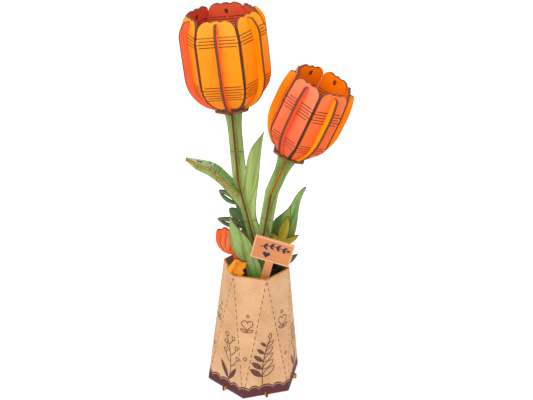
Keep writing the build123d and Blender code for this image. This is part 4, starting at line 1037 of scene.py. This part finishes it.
def make_vase_print():
    """Drawings round the card: ferns and berry branches in turn on the standing facets, hearts between."""
    layers = []
    for side in range(SIDES):
        angle = FRONT_ANGLE + SIDE_ANGLE * side
        left_foot = vase_corner(VASE_BOTTOM, angle - SIDE_ANGLE, VASE_LIFT)
        foot = vase_corner(VASE_BOTTOM, angle, VASE_LIFT)
        left_top = vase_corner(VASE_TOP, angle - SIDE_ANGLE / 2, VASE_LIFT + VASE_HEIGHT)
        right_top = vase_corner(VASE_TOP, angle + SIDE_ANGLE / 2, VASE_LIFT + VASE_HEIGHT)
        middle = (left_foot + foot) / 2
        standing = board_matrix(middle, foot - left_foot, left_top - middle)
        hanging = board_matrix(foot, right_top - left_top, (left_top + right_top) / 2 - foot)
        drawn, filled = fern_strokes() if side % 2 else berry_strokes()
        layers.append((drawn, False, standing))
        layers.append((filled, True, standing))
        layers.append((heart_strokes(), False, hanging))
    piece = ink_piece("vase_print", layers, ink_material("plum_ink_on_kraft", PLUM_INK), "vase")


def make_sign_print():
    """On the sign: a leafy twig over a heart."""
    turn = Matrix.Rotation(radians(SIGN_LEAN), 3, "Y")
    front = Vector(SIGN_PLACE) - Vector((0, SIGN_HALF_DEPTH, 0))
    board = board_matrix(front, turn @ Vector((1, 0, 0)), turn @ Vector((0, 0, 1)))
    twig = curve_points(TWIG_START, TWIG_END, TWIG_BOW)
    filled = [
        heart_stroke(SIGN_HEART_PLACE, SIGN_HEART_SIZE),
        leaf_stroke(twig[-1], TWIG_TIP_ANGLE, TWIG_TIP_LENGTH, TWIG_LEAF_WIDTH),
    ]
    for number, joint in enumerate(twig[1:-1:2]):
        turn_down = TWIG_TURN * number
        filled.append(leaf_stroke(joint, TWIG_UPPER_ANGLE - turn_down, TWIG_UPPER_LENGTH, TWIG_LEAF_WIDTH))
        filled.append(leaf_stroke(joint, TWIG_LOWER_ANGLE - turn_down, TWIG_LOWER_LENGTH, TWIG_LEAF_WIDTH))
    layers = [(filled, True, board), ([(twig, False)], False, board)]
    piece = ink_piece("sign_print", layers, ink_material("slate_ink_on_ply", SLATE_INK), "sign")


def make_camera():
    """The camera at the photograph's viewing angle."""
    azimuth = radians(CAMERA_AZIMUTH)
    elevation = radians(CAMERA_ELEVATION)
    roll = radians(CAMERA_ROLL)
    back = Vector((sin(azimuth) * cos(elevation), -cos(azimuth) * cos(elevation), sin(elevation)))
    right = Vector((cos(azimuth), sin(azimuth), 0.0))
    up = back.cross(right)
    tilted_right = right * cos(roll) + up * sin(roll)
    tilted_up = up * cos(roll) - right * sin(roll)
    data = bpy.data.cameras.new("photo_camera")
    data.sensor_width = SENSOR
    data.lens = CAMERA_FOCAL_PIXELS * SENSOR / PHOTO_WIDTH
    camera = bpy.data.objects.new("photo_camera", data)
    turn = Matrix((tilted_right, tilted_up, back)).transposed().to_4x4()
    eye = (Vector(CAMERA_TARGET) + back * CAMERA_DISTANCE) * MM
    camera.matrix_world = Matrix.Translation(eye) @ turn
    bpy.context.scene.collection.objects.link(camera)
    bpy.context.scene.camera = camera


def seen_directly(tree):
    """1 for what the camera sees straight, in a reflection or through glass, 0 for light on other things."""
    path = add(tree, "LightPath")
    seen = add(tree, "Math", {
        0: path.outputs["Is Camera Ray"],
        1: path.outputs["Is Glossy Ray"],
    }, operation="MAXIMUM")
    shown = add(tree, "Math", {
        0: seen.outputs[0],
        1: path.outputs["Is Transmission Ray"],
    }, operation="MAXIMUM")
    return shown.outputs[0]


def make_floor():
    """A white floor that fades into the white room and keeps a soft shadow."""
    mesh = bpy.data.meshes.new("floor")
    build = bmesh.new()
    bmesh.ops.create_grid(build, x_segments=1, y_segments=1, size=FLOOR_HALF * MM)
    build.to_mesh(mesh)
    build.free()
    floor = bpy.data.objects.new("floor", mesh)
    bpy.context.scene.collection.objects.link(floor)
    material = bpy.data.materials.new("white_studio_floor")
    material.use_nodes = True
    tree = material.node_tree
    tree.nodes.clear()
    lift = add(tree, "Math", {0: seen_directly(tree), 1: FLOOR_LIFT}, operation="MULTIPLY")
    paper = add(tree, "BsdfDiffuse", {"Color": FLOOR_COLOUR})
    glow = add(tree, "Emission", {"Color": WHITE, "Strength": lift.outputs[0]})
    both = add(tree, "AddShader", {0: paper.outputs[0], 1: glow.outputs[0]})
    add(tree, "OutputMaterial", {"Surface": both.outputs[0]})
    mesh.materials.append(material)


def make_lamp(name, place, size, power):
    """A soft square lamp that looks at the middle of the object."""
    data = bpy.data.lights.new(name, "AREA")
    data.shape = "SQUARE"
    data.size = size * MM
    data.energy = power
    lamp = bpy.data.objects.new(name, data)
    eye = Vector(place) * MM
    aim = Vector(LAMP_TARGET) * MM - eye
    lamp.matrix_world = Matrix.Translation(eye) @ aim.to_track_quat("-Z", "Y").to_matrix().to_4x4()
    bpy.context.scene.collection.objects.link(lamp)


def make_light():
    """Even studio light: a white room with large lamps above the front and over the cups, and a fill lamp."""
    world = bpy.data.worlds.new("white_room")
    bpy.context.scene.world = world
    world.use_nodes = True
    tree = world.node_tree
    tree.nodes.clear()
    strength = add(tree, "MapRange", {
        "Value": seen_directly(tree),
        "To Min": ROOM_LIGHT,
        "To Max": ROOM_SEEN,
    })
    sky = add(tree, "Background", {"Color": WHITE, "Strength": strength.outputs[0]})
    add(tree, "OutputWorld", {"Surface": sky.outputs[0]})
    for lamp in LAMPS:
        make_lamp(*lamp)


make_camera()
make_floor()
make_light()
dress()
make_vase_print()
make_sign_print()

scene = bpy.context.scene
scene.view_settings.view_transform = "Standard"
